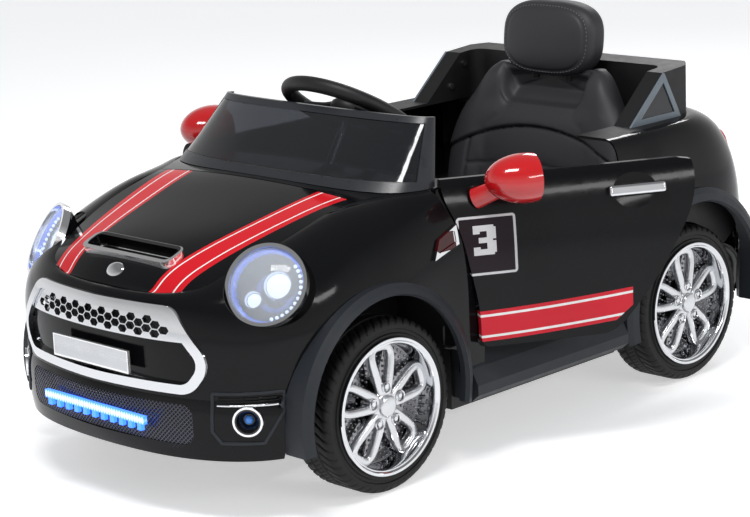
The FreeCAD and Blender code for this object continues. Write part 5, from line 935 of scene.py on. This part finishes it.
    def rim_and_disc(self) -> None:
        """Turns the rim's outline, with its stepped lip, barrel, flat disc and hub, and the disc's plate."""
        foot = (self.lip[0][0], -self.half_width - self.lip[0][1])
        outline = [foot, *((r, self.half_width + out) for r, out in self.lip), *self.barrel]
        self.show("rim", lathe(outline, 120), CHROME, [self.corner + "_wheel"])
        self.show("disc", lathe(self.plate, 96), DISC_CHROME)

    def studs(self) -> None:
        """Rows of small domes on the disc, every other row turned by half a step."""
        centres = [round_axle(radius, self.disc, (np.arange(count) + 0.5 * (index % 2)) * TURN / count)
                   for index, (radius, count) in enumerate(self.stud_rows)]
        basis = np.array([[1.0, 0, 0], [0, 0, 1.0], [0, 1.0, 0]])
        self.show("studs", balls(np.concatenate(centres), self.stud, basis, 7, 8), DISC_CHROME)

    def loops(self) -> None:
        """Carries a rounded section round five loops.

        A loop's radius is m + a c(s) and its half width b(r) s(s), with rounded
        square cosines c and s, b growing from the hub to the rim.
        """
        low, high = self.loop_reach
        ring = oval(1.0, 1.0, angles(120), 3.2)
        out = (low + high) / 2 + (high - low) / 2 * ring[:, 0]
        share = (out - low) / (high - low)
        half = 0.0085 + 0.0105 * step(0.0, 1.0, share) + 0.0015 * share
        across = half * ring[:, 1]
        crest = 0.0300 - 0.0050 * share ** 2
        width = 0.0066 - 0.0006 * share + 0.0014 * step(0.9, 1.0, share)
        deep = 0.0058 + 0.0022 * share
        flat = np.stack([across, out], -1)
        ahead = unit(np.roll(flat, -1, 0) - np.roll(flat, 1, 0))
        shaped = np.stack([width, deep], -1)[:, None] * oval(1.0, 1.0, angles(20), 2.6)
        up = np.array([0, 1.0, 0])
        copies = []
        for turn in self.headings:
            e_out = np.array([math.cos(turn), 0, math.sin(turn)])
            e_side = np.array([-math.sin(turn), 0, math.cos(turn)])
            path = across[:, None] * e_side + out[:, None] * e_out + (crest - deep)[:, None] * up
            side = ahead[:, 1:] * e_side - ahead[:, :1] * e_out
            points, faces = sweep(path, side, up, shaped, True)
            copies.append(points)
        self.show("spokes", many(np.stack(copies), faces), SPOKE_SILVER)

    def hub(self) -> None:
        """The boss behind the cap, the plain round cap and five recessed nuts."""
        self.show("boss", lathe(self.boss, 72), SPOKE_SILVER)
        self.show("cap", lathe(domed(self.cap_foot, 0.0142, 0.0332, 0.0032, 8), 64), SPOKE_SILVER)
        shift = round_axle(self.nut_circle, 0.0, self.headings)
        for name, outline, steps in (("nut_collars", self.collar, 28), ("nuts", self.nut, 6)):
            points, faces = lathe(outline, steps)
            self.show(name, many(points[None] + shift[:, None], faces), CHROME)

    def build(self) -> None:
        """Makes every piece of the wheel."""
        self.tyre()
        self.rim_and_disc()
        self.studs()
        self.loops()
        self.hub()


@dataclass
class SteeringWheel:
    """Ring, spokes and dished hub on the leaning column."""

    length: float = 0.353
    ring: float = 0.095
    tube: float = 0.011
    seams: tuple[float, float] = (118, 242)
    headings: tuple[float, ...] = (90, 180, 270)
    hub: Outline = ((0.0065, 0.0090), (0.0230, 0.0098), (0.0262, 0.0088), (0.0290, 0.0060), (0.0300, 0.0010),
                    (0.0290, -0.0060), (0.0240, -0.0118), (0.0065, -0.0120))

    def show(self, name: str, made: Mesh, stands_for: Sequence[str] = (), crease: float = 38.0) -> None:
        """Carries a piece from the wheel's own frame, Z up the column, to the car."""
        joint = next(j for j in frame["joints"] if j["name"] == "steering_turn")
        up = np.array(joint["axis"], float)
        basis = np.stack([np.cross([0.0, 1.0, 0.0], up), [0.0, 1.0, 0.0], up])
        points = made[0] @ basis + np.array(joint["pos_m"]) + up * self.length
        piece(name, (points, made[1]), MATTE_BLACK, "steering", stands_for, crease)

    def build(self) -> None:
        """The ring is a tube round a circle with two shallow seams; spokes are flat bars, wider at the hub."""
        up = np.array([0.0, 0.0, 1.0])
        turn, angle = angles(180), angles(48)
        out = np.stack([np.cos(turn), np.sin(turn), 0 * turn], -1)
        seam = sum(bell(np.abs(angle - math.radians(at)) % TURN, 0.075) for at in self.seams)
        section = oval(self.tube, self.tube, angle) * (1 - 0.075 * seam[:, None])
        ring = sweep(self.ring * out, out, up, section, True)
        self.show("steering_ring", ring, ["steering_wheel"], crease=50)
        reach = np.linspace(0.012, self.ring - 0.004, 28)
        share = (reach - reach[0]) / (reach[-1] - reach[0])
        half = 0.0125 + 0.007 * (1 - step(0.0, 0.5, share)) + 0.005 * step(0.75, 1.0, share)
        thick = 0.0045 - 0.0005 * share
        shaped = np.stack([half, thick], -1)[:, None] * oval(1.0, 1.0, angles(24), 4.0)
        copies = []
        for heading in np.radians(self.headings):
            e_out = np.array([math.cos(heading), math.sin(heading), 0.0])
            e_side = np.array([-e_out[1], e_out[0], 0.0])
            line = reach[:, None] * e_out + (0.004 * (1 - share) ** 2)[:, None] * up
            points, faces = sweep(line, e_side, up, shaped, False)
            copies.append(points)
        self.show("steering_spokes", many(np.stack(copies), faces))
        points, faces = lathe(self.hub, 72)
        self.show("steering_hub", (points[:, [0, 2, 1]], faces))


@dataclass
class Padding:
    """A padded piece of the seat: a closed surface with sewn lines that stay put while it fills out."""

    pressure: float = 3.0
    most: float = 0.004

    def fill_out(self, made: bpy.types.Object, held: np.ndarray) -> None:
        """Runs a short cloth simulation under pressure with the sewn lines held, and keeps its result.

        Args:
            made: the piece, with one point for each of held.
            held: how firmly each point is kept, from 0 to 1.
        """
        scene = bpy.context.scene
        count = len(made.data.vertices)
        start = np.zeros(count * 3, np.float32)
        made.data.vertices.foreach_get("co", start)
        group = made.vertex_groups.new(name="sewn")
        for level, chosen in ((1.0, held >= 1.0), (0.5, (held >= 0.3) & (held < 1.0))):
            group.add(np.flatnonzero(chosen).tolist(), level, "REPLACE")
        cloth = made.modifiers.new("fill", "CLOTH")
        settings = cloth.settings
        settings.quality = 5
        settings.mass = 0.25
        settings.tension_stiffness = settings.compression_stiffness = 18
        settings.bending_stiffness = 1.5
        settings.use_pressure = True
        settings.uniform_pressure_force = self.pressure
        settings.vertex_group_mass = "sewn"
        settings.effector_weights.gravity = 0
        cloth.collision_settings.use_collision = False
        for number in range(1, 15):
            scene.frame_set(number)
        shown = made.evaluated_get(bpy.context.evaluated_depsgraph_get())
        moved = np.zeros(count * 3, np.float32)
        shown.data.vertices.foreach_get("co", moved)
        made.modifiers.remove(cloth)
        made.vertex_groups.remove(group)
        scene.frame_set(1)
        shift = (moved - start).reshape(-1, 3)
        size = np.linalg.norm(shift, axis=1, keepdims=True)
        shift *= self.most * np.tanh(size / self.most) / np.maximum(size, TINY)
        made.data.vertices.foreach_set("co", (start + shift.ravel()).astype(np.float32))
        made.data.update()
        log.info("padded %s: moved at most %.1f mm", made.name, float(size.max()) / MM)

    def upholster(self, node: str, grid: np.ndarray, held: np.ndarray, crease: float) -> bpy.types.Object:
        """Makes a pad and fills it out.

        Args:
            node: the CAD node that it replaces.
            grid: (rows, points, 3) points; the first and the last row each meet in one point.
            held: how firmly each of them is kept, from 0 to 1.
            crease: edges sharper than this angle stay sharp, in degrees.

        Returns:
            The pad.
        """
        rows, cols = grid.shape[:2]
        made = piece(node + "_pad", sheet(grid), LEATHER, "chassis", [node], crease)
        if len(made.data.vertices) == (rows - 2) * cols + 2:
            self.fill_out(made, np.concatenate([held[0, :1], held[1:-1].ravel(), held[-1, :1]]))
        return made

    @staticmethod
    def section(ribs: Outline, across: int, under: int) -> np.ndarray:
        """A closed section: a smooth line through the ribs and their mirror image, and a straight one back."""
        half, edge = np.array(ribs), ribs[0][0]
        line = np.concatenate([half, half[-2::-1] * np.array([-1, 1])])
        padded = through(np.linspace(0, 1, len(line)), line, np.linspace(0, 1, across))
        flat = np.linspace(-edge, edge, under + 2)[1:-1]
        return np.concatenate([padded, np.stack([flat, 0 * flat], -1)])

    def sew(self, name: str, path: np.ndarray, out: np.ndarray, every: float = 0.0062) -> None:
        """Lays small stitches along a line.

        Args:
            name: the stitches' name.
            path: (n, 3) points of a closed or open line.
            out: (n, 3) directions out of the surface.
            every: distance from stitch to stitch.
        """
        run = run_along(path)
        at = np.arange(every / 2, run[-1], every)
        centres, on, normal = (np.stack([np.interp(where, run, line[:, k]) for k in range(3)], -1)
                               for where, line in ((at, path), (at + every / 4, path), (at, out)))
        ahead = unit(on - centres)
        normal = unit(normal - ahead * np.sum(ahead * normal, 1, keepdims=True))
        basis = np.stack([ahead, np.cross(normal, ahead), normal], 1)
        piece(name, balls(centres, (0.0020, 0.0006, 0.0006), basis, 5, 6), THREAD)


@dataclass
class Headrest(Padding):
    """The large rounded head rest: a stitched front panel with a gusset round it."""

    low: float = 0.4495
    high: float = 0.5675
    middle_x: float = -0.357
    half_width: float = 0.095
    depth: float = 0.060
    power: float = 2.9
    lean: float = -0.11
    seam_at: float = 0.86
    seam_depth: float = 0.0022
    stitch_at: float = 0.835
    post: Outline = ((POLE, -0.004), (0.007, -0.004), (0.007, 0.030), (POLE, 0.030))
    post_half: float = 0.034
    post_foot: float = 0.4464

    def outline(self, turn: np.ndarray) -> np.ndarray:
        """The fullest slice, as (y, z) from its middle."""
        return oval(self.half_width, (self.high - self.low) / 2, turn, self.power)

    def even_turns(self, count: int) -> np.ndarray:
        """Angles at which points stand evenly along the outline."""
        turn = np.linspace(0, TURN, 4001)
        run = run_along(self.outline(turn))
        return np.interp(np.linspace(0, run[-1], count, endpoint=False), run, turn)

    def surface(self, turn: np.ndarray, slice_at: np.ndarray) -> np.ndarray:
        """A rounded oblong seen from the front, swept from its rear to its front.

        Each slice is the outline (w cos^(2/p), h sin^(2/p)) scaled by how full
        the slice is: round at both ends and nearly straight between.
        """
        full = np.clip(1 - np.abs(2 * slice_at - 1) ** 3.4, 0, 1) ** (1 / 2.4)
        y, z = np.moveaxis(self.outline(turn), -1, 0)
        x = self.middle_x + self.depth * (slice_at - 0.5) + self.lean * full * z
        return np.stack([x + 0 * y, full * y, (self.low + self.high) / 2 + full * z], -1)

    def build(self) -> None:
        """The slices crowd at the front, where the sewn line round the panel is pressed in."""
        turn = self.even_turns(144)
        slices = 0.5 - 0.5 * np.cos(np.linspace(0, math.pi, 72))[:, None]
        points = self.surface(turn[None, :], slices)
        seam = bell(slices - self.seam_at, 0.016)
        centre = np.array([self.middle_x, 0, (self.low + self.high) / 2])
        points = points + self.seam_depth * seam[..., None] * unit(centre - points)
        held = np.where(slices < 0.35, 1.0, np.repeat(seam, len(turn), 1))
        made = self.upholster("headrest", points, held, crease=80)
        rim = self.surface(turn, np.full(len(turn), self.stitch_at))
        rim = np.concatenate([rim, rim[:1]])
        self.sew("headrest_stitches", rim, rim - centre)
        points, faces = lathe(self.post, 32)
        shift = np.array([[self.middle_x + 0.004, side * self.post_half, self.post_foot] for _, side in SIDES])
        piece("headrest_posts", many(points[None][..., [0, 2, 1]] + shift[:, None], faces), MATTE_BLACK)


@dataclass
class SeatBack(Padding):
    """The winged back: a yoke with a hollow under the head rest, over a sewn lower panel.

    Attributes:
        rows: share of the height, reach and width of the section there.
        arch: top and drop of the yoke's lower edge.
        ribs: half of the section, from its edge to the middle.
        caps: how far the rows over the top are drawn in, and how far they rise.
    """

    foot: float = 0.180
    head: float = 0.446
    foot_x: float = -0.252
    head_x: float = -0.321
    depth: float = 0.042
    half: float = 0.180
    seam: float = 0.0022
    rows: tuple[tuple[float, float, float], ...] = (
        (0.00, 0.80, 0.86), (0.12, 0.96, 0.97), (0.35, 1.00, 1.00), (0.60, 0.94, 1.00), (0.82, 0.80, 0.88),
        (0.95, 0.62, 0.70), (1.00, 0.40, 0.58))
    arch: tuple[float, float] = (0.372, 1.5)
    yoke_rise: float = 0.0050
    edge_depth: float = 0.0034
    seam_depth: float = 0.0026
    hollow_depth: float = 0.0095
    rim_depth: float = 0.0014
    ribs: Outline = ((0.97, 0.0), (1.0, 0.5), (0.93, 0.9), (0.76, 1.0), (0.56, 0.84), (0.30, 0.88),
                     (0.0, 0.9))
    caps: Outline = ((0.93, 0.0022), (0.7, 0.0036), (0.0, 0.0042))

    def build(self) -> None:
        """Rows of a half section through the ribs, scaled by each height's reach and width.

        The yoke stands over the lower panel along an arch z = top - drop y^2, the
        hollow is a rounded rectangle pressed in below the head rest, and sewn
        lines are narrow bell-shaped grooves.
        """
        across, under = 120, 24
        height = np.linspace(0, 1, 96)
        knots, *sizes = np.array(self.rows).T
        reach, width = through(knots, np.stack(sizes, -1), height).T
        section = self.section(self.ribs, across, under)
        back = self.foot_x + (self.head_x - self.foot_x) * height - self.depth
        z = self.foot + (self.head - self.foot) * height
        points = np.stack([back[:, None] + self.depth * reach[:, None] * section[:, 1],
                           self.half * width[:, None] * section[:, 0], z[:, None] + 0 * section[:, 0]], -1)
        y = points[..., 1]
        far = np.abs(y)
        shoulder = 0.018 * pulse((0.078, 0.094), (0.112, 0.150), far) - 0.020 * (1 - step(0.068, 0.086, far))
        points[..., 2] += step(0.72, 1.0, height)[:, None] * shoulder
        level = points[..., 2]
        facing = np.concatenate([np.ones(across), np.zeros(under)]) * step(0.15, 0.6, np.abs(section[:, 1]))
        arch = self.arch[0] - self.arch[1] * y ** 2
        yoke = step(-0.0025, 0.0025, level - arch)
        edge = bell(level - arch + 0.002, self.seam)
        seams = (bell(level - 0.316 + 0.10 * far, self.seam) * (far < 0.132)
                 + bell(far - 0.134, self.seam) * (level < arch))
        from_hollow = np.hypot(np.maximum(far - 0.062, 0) / 0.024, np.maximum(0.432 - level, 0) / 0.030)
        hollow = 1 - step(0.75, 1.0, from_hollow)
        rim = bell(from_hollow - 1.12, 0.09) * (level > arch)
        push = (self.yoke_rise * yoke - self.edge_depth * edge - self.seam_depth * seams
                - self.hollow_depth * hollow - self.rim_depth * rim)
        points[..., 0] += facing * push
        held = np.where(facing < 0.4, 1.0, np.clip(edge + seams + hollow * 0.9, 0, 1))
        held[:4] = 1.0
        floor = [shrunk(points[0], share) for share in (0.0, 0.6)]
        caps = [shrunk(points[-1], *cap) for cap in self.caps]
        pins = [np.ones((len(rows), len(section))) for rows in (floor, caps)]
        made = self.upholster("seat_back", np.concatenate([floor, points, caps]),
                              np.concatenate([pins[0], held, pins[1]]), crease=75)


@dataclass
class SeatCushion(Padding):
    """The crowned cushion with two sewn channels along it.

    Attributes:
        rows: share of the length, rise and width of the section there.
        ribs: half of the section, from its edge to the middle.
    """

    front: float = -0.036
    rear: float = -0.254
    floor: float = 0.1802
    height: float = 0.0395
    half: float = 0.178
    seam: float = 0.0024
    seam_depth: float = 0.0030
    channel_y: float = 0.100
    cross_x: float = -0.105
    rows: tuple[tuple[float, float, float], ...] = (
        (0.00, 0.55, 0.90), (0.05, 0.86, 0.96), (0.20, 1.00, 1.00), (0.55, 0.94, 1.00), (0.90, 0.90, 0.97),
        (1.00, 0.78, 0.94))
    ribs: Outline = ((0.965, 0.0), (1.0, 0.45), (0.93, 0.88), (0.72, 1.0), (0.56, 0.90), (0.36, 0.97),
                     (0.0, 1.0))

    def build(self) -> None:
        """Rows from front to rear of the section, with grooves at the channels and across."""
        across, under = 108, 20
        along = np.linspace(0, 1, 84)
        knots, *sizes = np.array(self.rows).T
        rise, width = through(knots, np.stack(sizes, -1), along).T
        section = self.section(self.ribs, across, under)
        x = self.front + (self.rear - self.front) * along
        points = np.stack([x[:, None] + 0 * section[:, 0], self.half * width[:, None] * section[:, 0],
                           self.floor + self.height * rise[:, None] * np.clip(section[:, 1], 0, None)], -1)
        facing = np.concatenate([np.ones(across), np.zeros(under)]) * step(0.3, 0.7, np.abs(section[:, 1]))
        far = np.abs(points[..., 1])
        cross = bell(points[..., 0] - self.cross_x, self.seam) * (far < 0.098)
        grooves = bell(far - self.channel_y, self.seam) + cross
        grooves = np.clip(grooves, 0, 1)
        points[..., 2] -= facing * self.seam_depth * grooves
        held = np.where(facing < 0.4, 1.0, grooves)
        ends = [shrunk(points[0], share) for share in (0.0, 0.7)]
        tails = [shrunk(points[-1], share) for share in (0.7, 0.0)]
        pins = np.ones((2, len(section)))
        made = self.upholster("seat_cushion", np.concatenate([ends, points, tails]),
                              np.concatenate([pins, held, pins]), crease=75)


@dataclass
class Lamps:
    """What sits inside the head lamps and fog lamps.

    Attributes:
        bowls: name, place across and up, ring radius, depth of foot and rim, and lens radius.
        bezel: corners of the frame round a fog lamp, across and up from its middle.
    """

    lamp: tuple[float, float, float] = (0.490, 0.229, 0.312)
    yaw: float = 27.0
    pitch: float = 30.0
    fog: tuple[float, float, float] = (0.528, 0.224, 0.142)
    fog_yaw: float = 38.0
    diode_circle: float = 0.0435
    diodes: int = 13
    bowls: tuple[tuple[str, float, float, float, float, float, float], ...] = (
        ("projector", 0.010, 0.004, 0.0205, -0.030, -0.010, 0.0165),
        ("side_bowl", -0.022, -0.016, 0.0135, -0.026, -0.013, 0.0095))
    bezel: Outline = ((-0.046, 0.036), (0.046, 0.036), (0.048, -0.014), (0.036, -0.030), (-0.020, -0.030),
                      (-0.046, 0.010))

    def axes(self, side: int, yaw: float, pitch: float) -> np.ndarray:
        """Rows: across to the viewer's right, out of the lamp, and up."""
        a, b = math.radians(yaw), math.radians(pitch)
        out = np.array([math.cos(b) * math.cos(a), side * math.cos(b) * math.sin(a), math.sin(b)])
        across = unit(np.cross(out, [0.0, 0.0, 1.0]))
        return np.stack([-across, out, np.cross(across, out)])

    def head(self, name: str, side: int) -> None:
        """A fluted bowl, a projector in its ring, a small second bowl and a row of diodes."""
        basis = self.axes(side, self.yaw, self.pitch)
        middle = np.array(self.lamp) * np.array([1, side, 1])
        turn, depth = angles(192)[None, :], np.linspace(0, 1, 16)[:, None]
        flutes = 0.0007 * np.abs(np.sin(turn * 14)) * np.sin(math.pi * depth)
        shell = round_axle(0.0205 + 0.0285 * depth ** 0.62 + flutes, -0.0365 + 0.0345 * depth, turn)
        back = shell[::-1] * np.array([1.012, 1, 1.012]) - np.array([0, 0.0012, 0])
        light = np.repeat(np.concatenate([0.25 + 0.75 * depth ** 3, 0 * depth]), turn.size, 1)
        made = sheet(np.concatenate([shell, back]) @ basis + middle, True)
        piece(name + "_reflector", made, LIT_CHROME, glow=light.ravel())
        for part, dx, dz, ring, low, high, ball in self.bowls:
            centre = np.array([dx * side, 0, dz]) @ basis + middle
            rim = ((ball + 0.0006, low), (ring - 0.002, low), (ring, high - 0.003), (ring - 0.0008, high),
                   (ring - 0.0022, high), (ball + 0.0006, high - 0.004))
            points, faces = lathe(rim, 64)
            piece(f"{name}_{part}_ring", (points @ basis + centre, faces), CHROME)
            points, faces = lathe(domed([(POLE, low)], ball, high - 0.006, 0.55 * ball), 56)
            made = points @ basis + centre, faces
            piece(f"{name}_{part}_lens", made, LAMP_WHITE, glow=np.ones(len(points)))
        first = -78 if side > 0 else 138
        turn = np.radians(np.linspace(first, first + 120, self.diodes))
        spots = round_axle(self.diode_circle, -0.0075, turn) @ basis + middle
        made = balls(spots, (0.0026, 0.0026, 0.0022), basis[[0, 2, 1]], 6, 10)
        piece(name + "_diodes", made, LAMP_WHITE, glow=np.ones(len(made[0])))

    def fog_light(self, name: str, side: int) -> None:
        """A blue lens in the ring; a bright bar, three fins and a frame, laid on the bumper's skin."""
        basis = self.axes(side, self.fog_yaw, 0.0)
        middle = np.array(self.fog) * np.array([1, side, 1])
        points, faces = lathe(domed([(POLE, 0.0055)], 0.0062, 0.0065, 0.0050), 48)
        piece(name + "_lens", (points @ basis + middle, faces), BLUE_LED)
        skin = Skin(("front_bumper", "front_body"), middle + 0.2 * basis[1], basis[[0, 2, 1]])
        bars = [("bar", 0.0205, 0.040, 0.0015, 0.0016, CHROME)]
        bars += [(f"fin_{k}", 0.0255 + 0.0042 * k, 0.040 - 0.002 * k, 0.0011, 0.0012, GLOSS_BLACK)
                 for k in range(3)]
        for part, rise, half, thick, proud, finish in bars:
            a = np.linspace(-1, 1, 40) * half
            path = skin.place(a, np.full_like(a, rise), proud * 0.4)
            section = oval(thick, proud, angles(12), 3.0)
            piece(f"{name}_{part}", sweep(path, basis[2], basis[1], section, False), finish)
        corners = np.array([*self.bezel, self.bezel[0]])
        run = run_along(corners)
        at = np.linspace(0, run[-1], 160, endpoint=False)
        a, b = (np.interp(at, run, line) for line in corners.T)
        path = skin.place(-side * a, b, 0.0004)
        across = unit(np.cross(np.roll(path, -1, 0) - np.roll(path, 1, 0), basis[1]))
        section = oval(0.0022, 0.0016, angles(12), 3.0)
        piece(name + "_bezel", sweep(path, across, basis[1], section, True), TRIM_GREY)

    def build(self) -> None:
        """Makes both sides."""
        for name, side in SIDES:
            self.head(name + "_head_lamp", side)
            self.fog_light(name + "_fog", side)


@dataclass
class ArchGuards:
    """Thin dark splash guards that close the rear wheel arches towards the cabin."""

    axle: float = -0.332
    height: float = 0.120
    low: float = 0.123
    high: float = 0.185
    inner: float = 0.2595
    outer: float = 0.2612
    sweep_from: float = 32
    sweep_to: float = 150

    def build(self) -> None:
        """An arc of a flat ring over each rear wheel: (r cos t, y, r sin t) between two radii."""
        turn = np.radians(np.linspace(self.sweep_from, self.sweep_to, 60))[:, None]
        radius = np.array([self.low, self.low, self.high, self.high])
        across = np.array([self.inner, self.outer, self.outer, self.inner])
        for name, side in SIDES:
            points = round_axle(radius, across * side, turn) + np.array([self.axle, 0, self.height])
            whole = np.concatenate([[shrunk(points[0], 0.0)], points, [shrunk(points[-1], 0.0)]])
            piece(name + "_arch_guard", sheet(whole), MATTE_BLACK)


@dataclass
class FrontDetails:
    """The intake's wire mesh and the plain badge boss."""

    low: float = 0.100
    high: float = 0.166
    half: float = 0.172
    pitch: float = 0.0062
    wire: float = 0.0009
    badge_x: float = 0.5545
    badge_half: tuple[float, float] = (0.0085, 0.0170)
    badge_rise: float = 0.0042

    def intake_mesh(self) -> None:
        """Two families of slanting wires on the intake sheet: y = y0 + t and y = y0 - t over its height."""
        skin = Skin(("bumper_mesh",), (0.9, 0.0, 0.0), [[0, 1.0, 0], [0, 0, 1.0], [1.0, 0, 0]])
        t = np.linspace(0, 1, 16)
        tall = self.high - self.low
        first = np.arange(-self.half - tall, self.half + tall, self.pitch)
        strands = []
        for slant in (1, -1):
            y = np.clip(first[:, None] + slant * tall * t[None, :], -self.half, self.half)
            z = np.broadcast_to(self.low + tall * t, y.shape)
            keep = np.ptp(y, axis=1) > 0.004
            strands.append(skin.place(y[keep], z[keep], 0.0006 + 0.0003 * slant))
        path = np.concatenate(strands)
        section = oval(self.wire, self.wire * 0.8, angles(6))
        out = np.array([1.0, 0, 0])
        side = unit(np.cross(unit(np.gradient(path, axis=1)), out))
        points = path[:, :, None] + section[:, :1] * side[:, :, None] + section[:, 1:] * out
        faces = grid_faces(len(t), len(section))
        piece("intake_wires", many(points.reshape(len(path), -1, 3), faces), DARK_CHROME)

    def badge_boss(self) -> None:
        """A plain oval boss on the hood's lip: a low dome over an oval foot, closed under its middle."""
        skin = Skin(("hood",), (0.0, 0.0, 0.6), np.eye(3))
        turn, share = angles(64)[None, :], np.linspace(1, 0, 10)[:, None]
        a = self.badge_x + self.badge_half[0] * share * np.cos(turn)
        b = self.badge_half[1] * share * np.sin(turn)
        dome = skin.place(a, b, 0.0)
        dome[..., 2] += self.badge_rise * (1 - share ** 2.6) + 0.0006 - 0.0018 * (share > 0.99)
        whole = np.concatenate([[shrunk(dome[-1], 0.0, -0.006)], dome])
        piece("badge_boss", sheet(whole), CHROME)

    def build(self) -> None:
        """Makes the front's small pieces."""
        self.intake_mesh()
        self.badge_boss()


@dataclass
class Studio:
    """Floor, soft lights and the camera.

    Attributes:
        lamps: name, place, aim, size and power of each soft box.
        heading: the camera's yaw, pitch and roll, in degrees.
        focal: its focal length in pixels of a picture that is picture_width wide.
    """

    floor_radius: float = 9.0
    floor_glow: float = 0.50
    soft_light: float = 0.45
    lamps: tuple[tuple, ...] = (
        ("over_hood", (1.2, 0.6, 2.6), (0.2, 0.0, 0.3), (1.2, 0.45), 42),
        ("left_side", (0.2, 3.2, 1.5), (0.0, 0.2, 0.25), (2.0, 0.30), 22),
        ("behind", (-2.6, -1.2, 2.0), (-0.2, 0.0, 0.35), (1.2, 0.60), 20))
    eye: tuple[float, float, float] = (2.4015, 2.3488, 1.0289)
    heading: tuple[float, float, float] = (225.14, 13.55, 2.46)
    focal: float = 2282.2
    picture_width: float = 750.0
    sensor: float = 36.0

    def floor(self) -> None:
        """A wide pale disc that lights up a little for the camera and for reflections."""
        turn = angles(64)
        far = self.floor_radius
        ring = np.stack([far * np.cos(turn), far * np.sin(turn), 0 * turn - 0.0005], -1)
        mesh = bpy.data.meshes.new("studio_floor")
        mesh.from_pydata(ring.tolist(), [], [list(range(len(ring)))])
        bench = MaterialBench("pale_floor")
        cloud = bench.noise(bench.coords, 3.0)
        bench.shade(Base_Color=bench.blend(cloud, (0.82, 0.82, 0.82), (0.85, 0.85, 0.85)), Roughness=0.6,
                    Specular_IOR_Level=0.2, Emission_Color=(1.0, 1.0, 1.0, 1.0),
                    Emission_Strength=bench.seen() * self.floor_glow)
        mesh.materials.append(bench.owner)
        made = bpy.data.objects.new("studio_floor", mesh)
        bpy.context.scene.collection.objects.link(made)

    def world(self) -> None:
        """A backdrop for the camera, gloss and glass, white at the horizon; plain light is softer."""
        world = bpy.context.scene.world = bpy.data.worlds.new("studio")
        bench = Bench(world)
        fall = bench.axes(bench.add("NewGeometry").outputs["Incoming"])[2]
        level = bench.spread(fall, (-0.62, -0.06), (0.26, 1.0))
        soft = bench.add("Background", Color=(0.92, 0.95, 1.0, 1.0), Strength=self.soft_light)
        white = bench.add("Background", Color=(1.0, 1.0, 1.0, 1.0), Strength=level)
        mix = bench.add("MixShader")
        for socket, value in zip(mix.inputs, (bench.seen(), soft.outputs[0], white.outputs[0])):
            bench.feed(socket, value)
        bench.feed(bench.add("OutputWorld").inputs[0], mix.outputs[0])

    def lights(self) -> None:
        """Three soft boxes: over the hood, along the left side, and behind."""
        for name, place, aim, size, power in self.lamps:
            lamp = bpy.data.lights.new(name, "AREA")
            lamp.shape = "RECTANGLE"
            lamp.size, lamp.size_y = size
            lamp.energy = power
            made = bpy.data.objects.new(name, lamp)
            made.location = place
            made.rotation_euler = (Vector(aim) - Vector(place)).to_track_quat("-Z", "Y").to_euler()
            bpy.context.scene.collection.objects.link(made)

    def camera(self) -> None:
        """The photograph's viewpoint, solved from the wheels and body corners."""
        yaw, pitch, roll = map(math.radians, self.heading)
        level = math.cos(pitch)
        ahead = Vector((level * math.cos(yaw), level * math.sin(yaw), -math.sin(pitch)))
        right = ahead.cross(Vector((0, 0, 1))).normalized()
        down = ahead.cross(right)
        x = math.cos(roll) * right + math.sin(roll) * down
        y = math.sin(roll) * right - math.cos(roll) * down
        data = bpy.data.cameras.new("photo_camera")
        data.sensor_width, data.lens = self.sensor, self.sensor * self.focal / self.picture_width
        data.clip_start, data.clip_end = 0.05, 60
        made = bpy.data.objects.new("photo_camera", data)
        turn = Matrix((x, y, -ahead)).transposed().to_4x4()
        made.matrix_world = Matrix.Translation(self.eye) @ turn
        bpy.context.scene.collection.objects.link(made)
        bpy.context.scene.camera = made

    def build(self) -> None:
        """Sets the stage."""
        bpy.context.scene.view_settings.view_transform = "Standard"
        self.floor()
        self.world()
        self.lights()
        self.camera()


def dress_nodes() -> None:
    """Gives each CAD node that stays in view its finish."""
    for finish, names in NODE_FINISHES.items():
        for name in names:
            node = frame["nodes"][name]
            node.data.materials.clear()
            node.data.materials.append(finish.material())
            log.info("node %s: %s", name, finish.name)


def round_handles(width: float = 0.0042) -> None:
    """Rounds the edges of the door handles with a weld and a bevel."""
    for name, _ in SIDES:
        node = frame["nodes"][name + "_door_handle"]
        node.modifiers.new("weld", "WELD").merge_threshold = 1e-5
        bevel = node.modifiers.new("round", "BEVEL")
        bevel.width, bevel.segments, bevel.limit_method = width, 4, "ANGLE"


def main() -> None:
    """Builds the stage, the finishes and every new piece."""
    logging.basicConfig(level=logging.INFO, format="%(name)s %(message)s")
    Studio().build()
    dress_nodes()
    round_handles()
    for end in ("front", "rear"):
        for side_name, _ in SIDES:
            RoadWheel(end, side_name).build()
    SteeringWheel().build()
    SeatCushion().build()
    SeatBack().build()
    Headrest().build()
    Lamps().build()
    ArchGuards().build()
    FrontDetails().build()


if __name__ == "__main__":
    main()
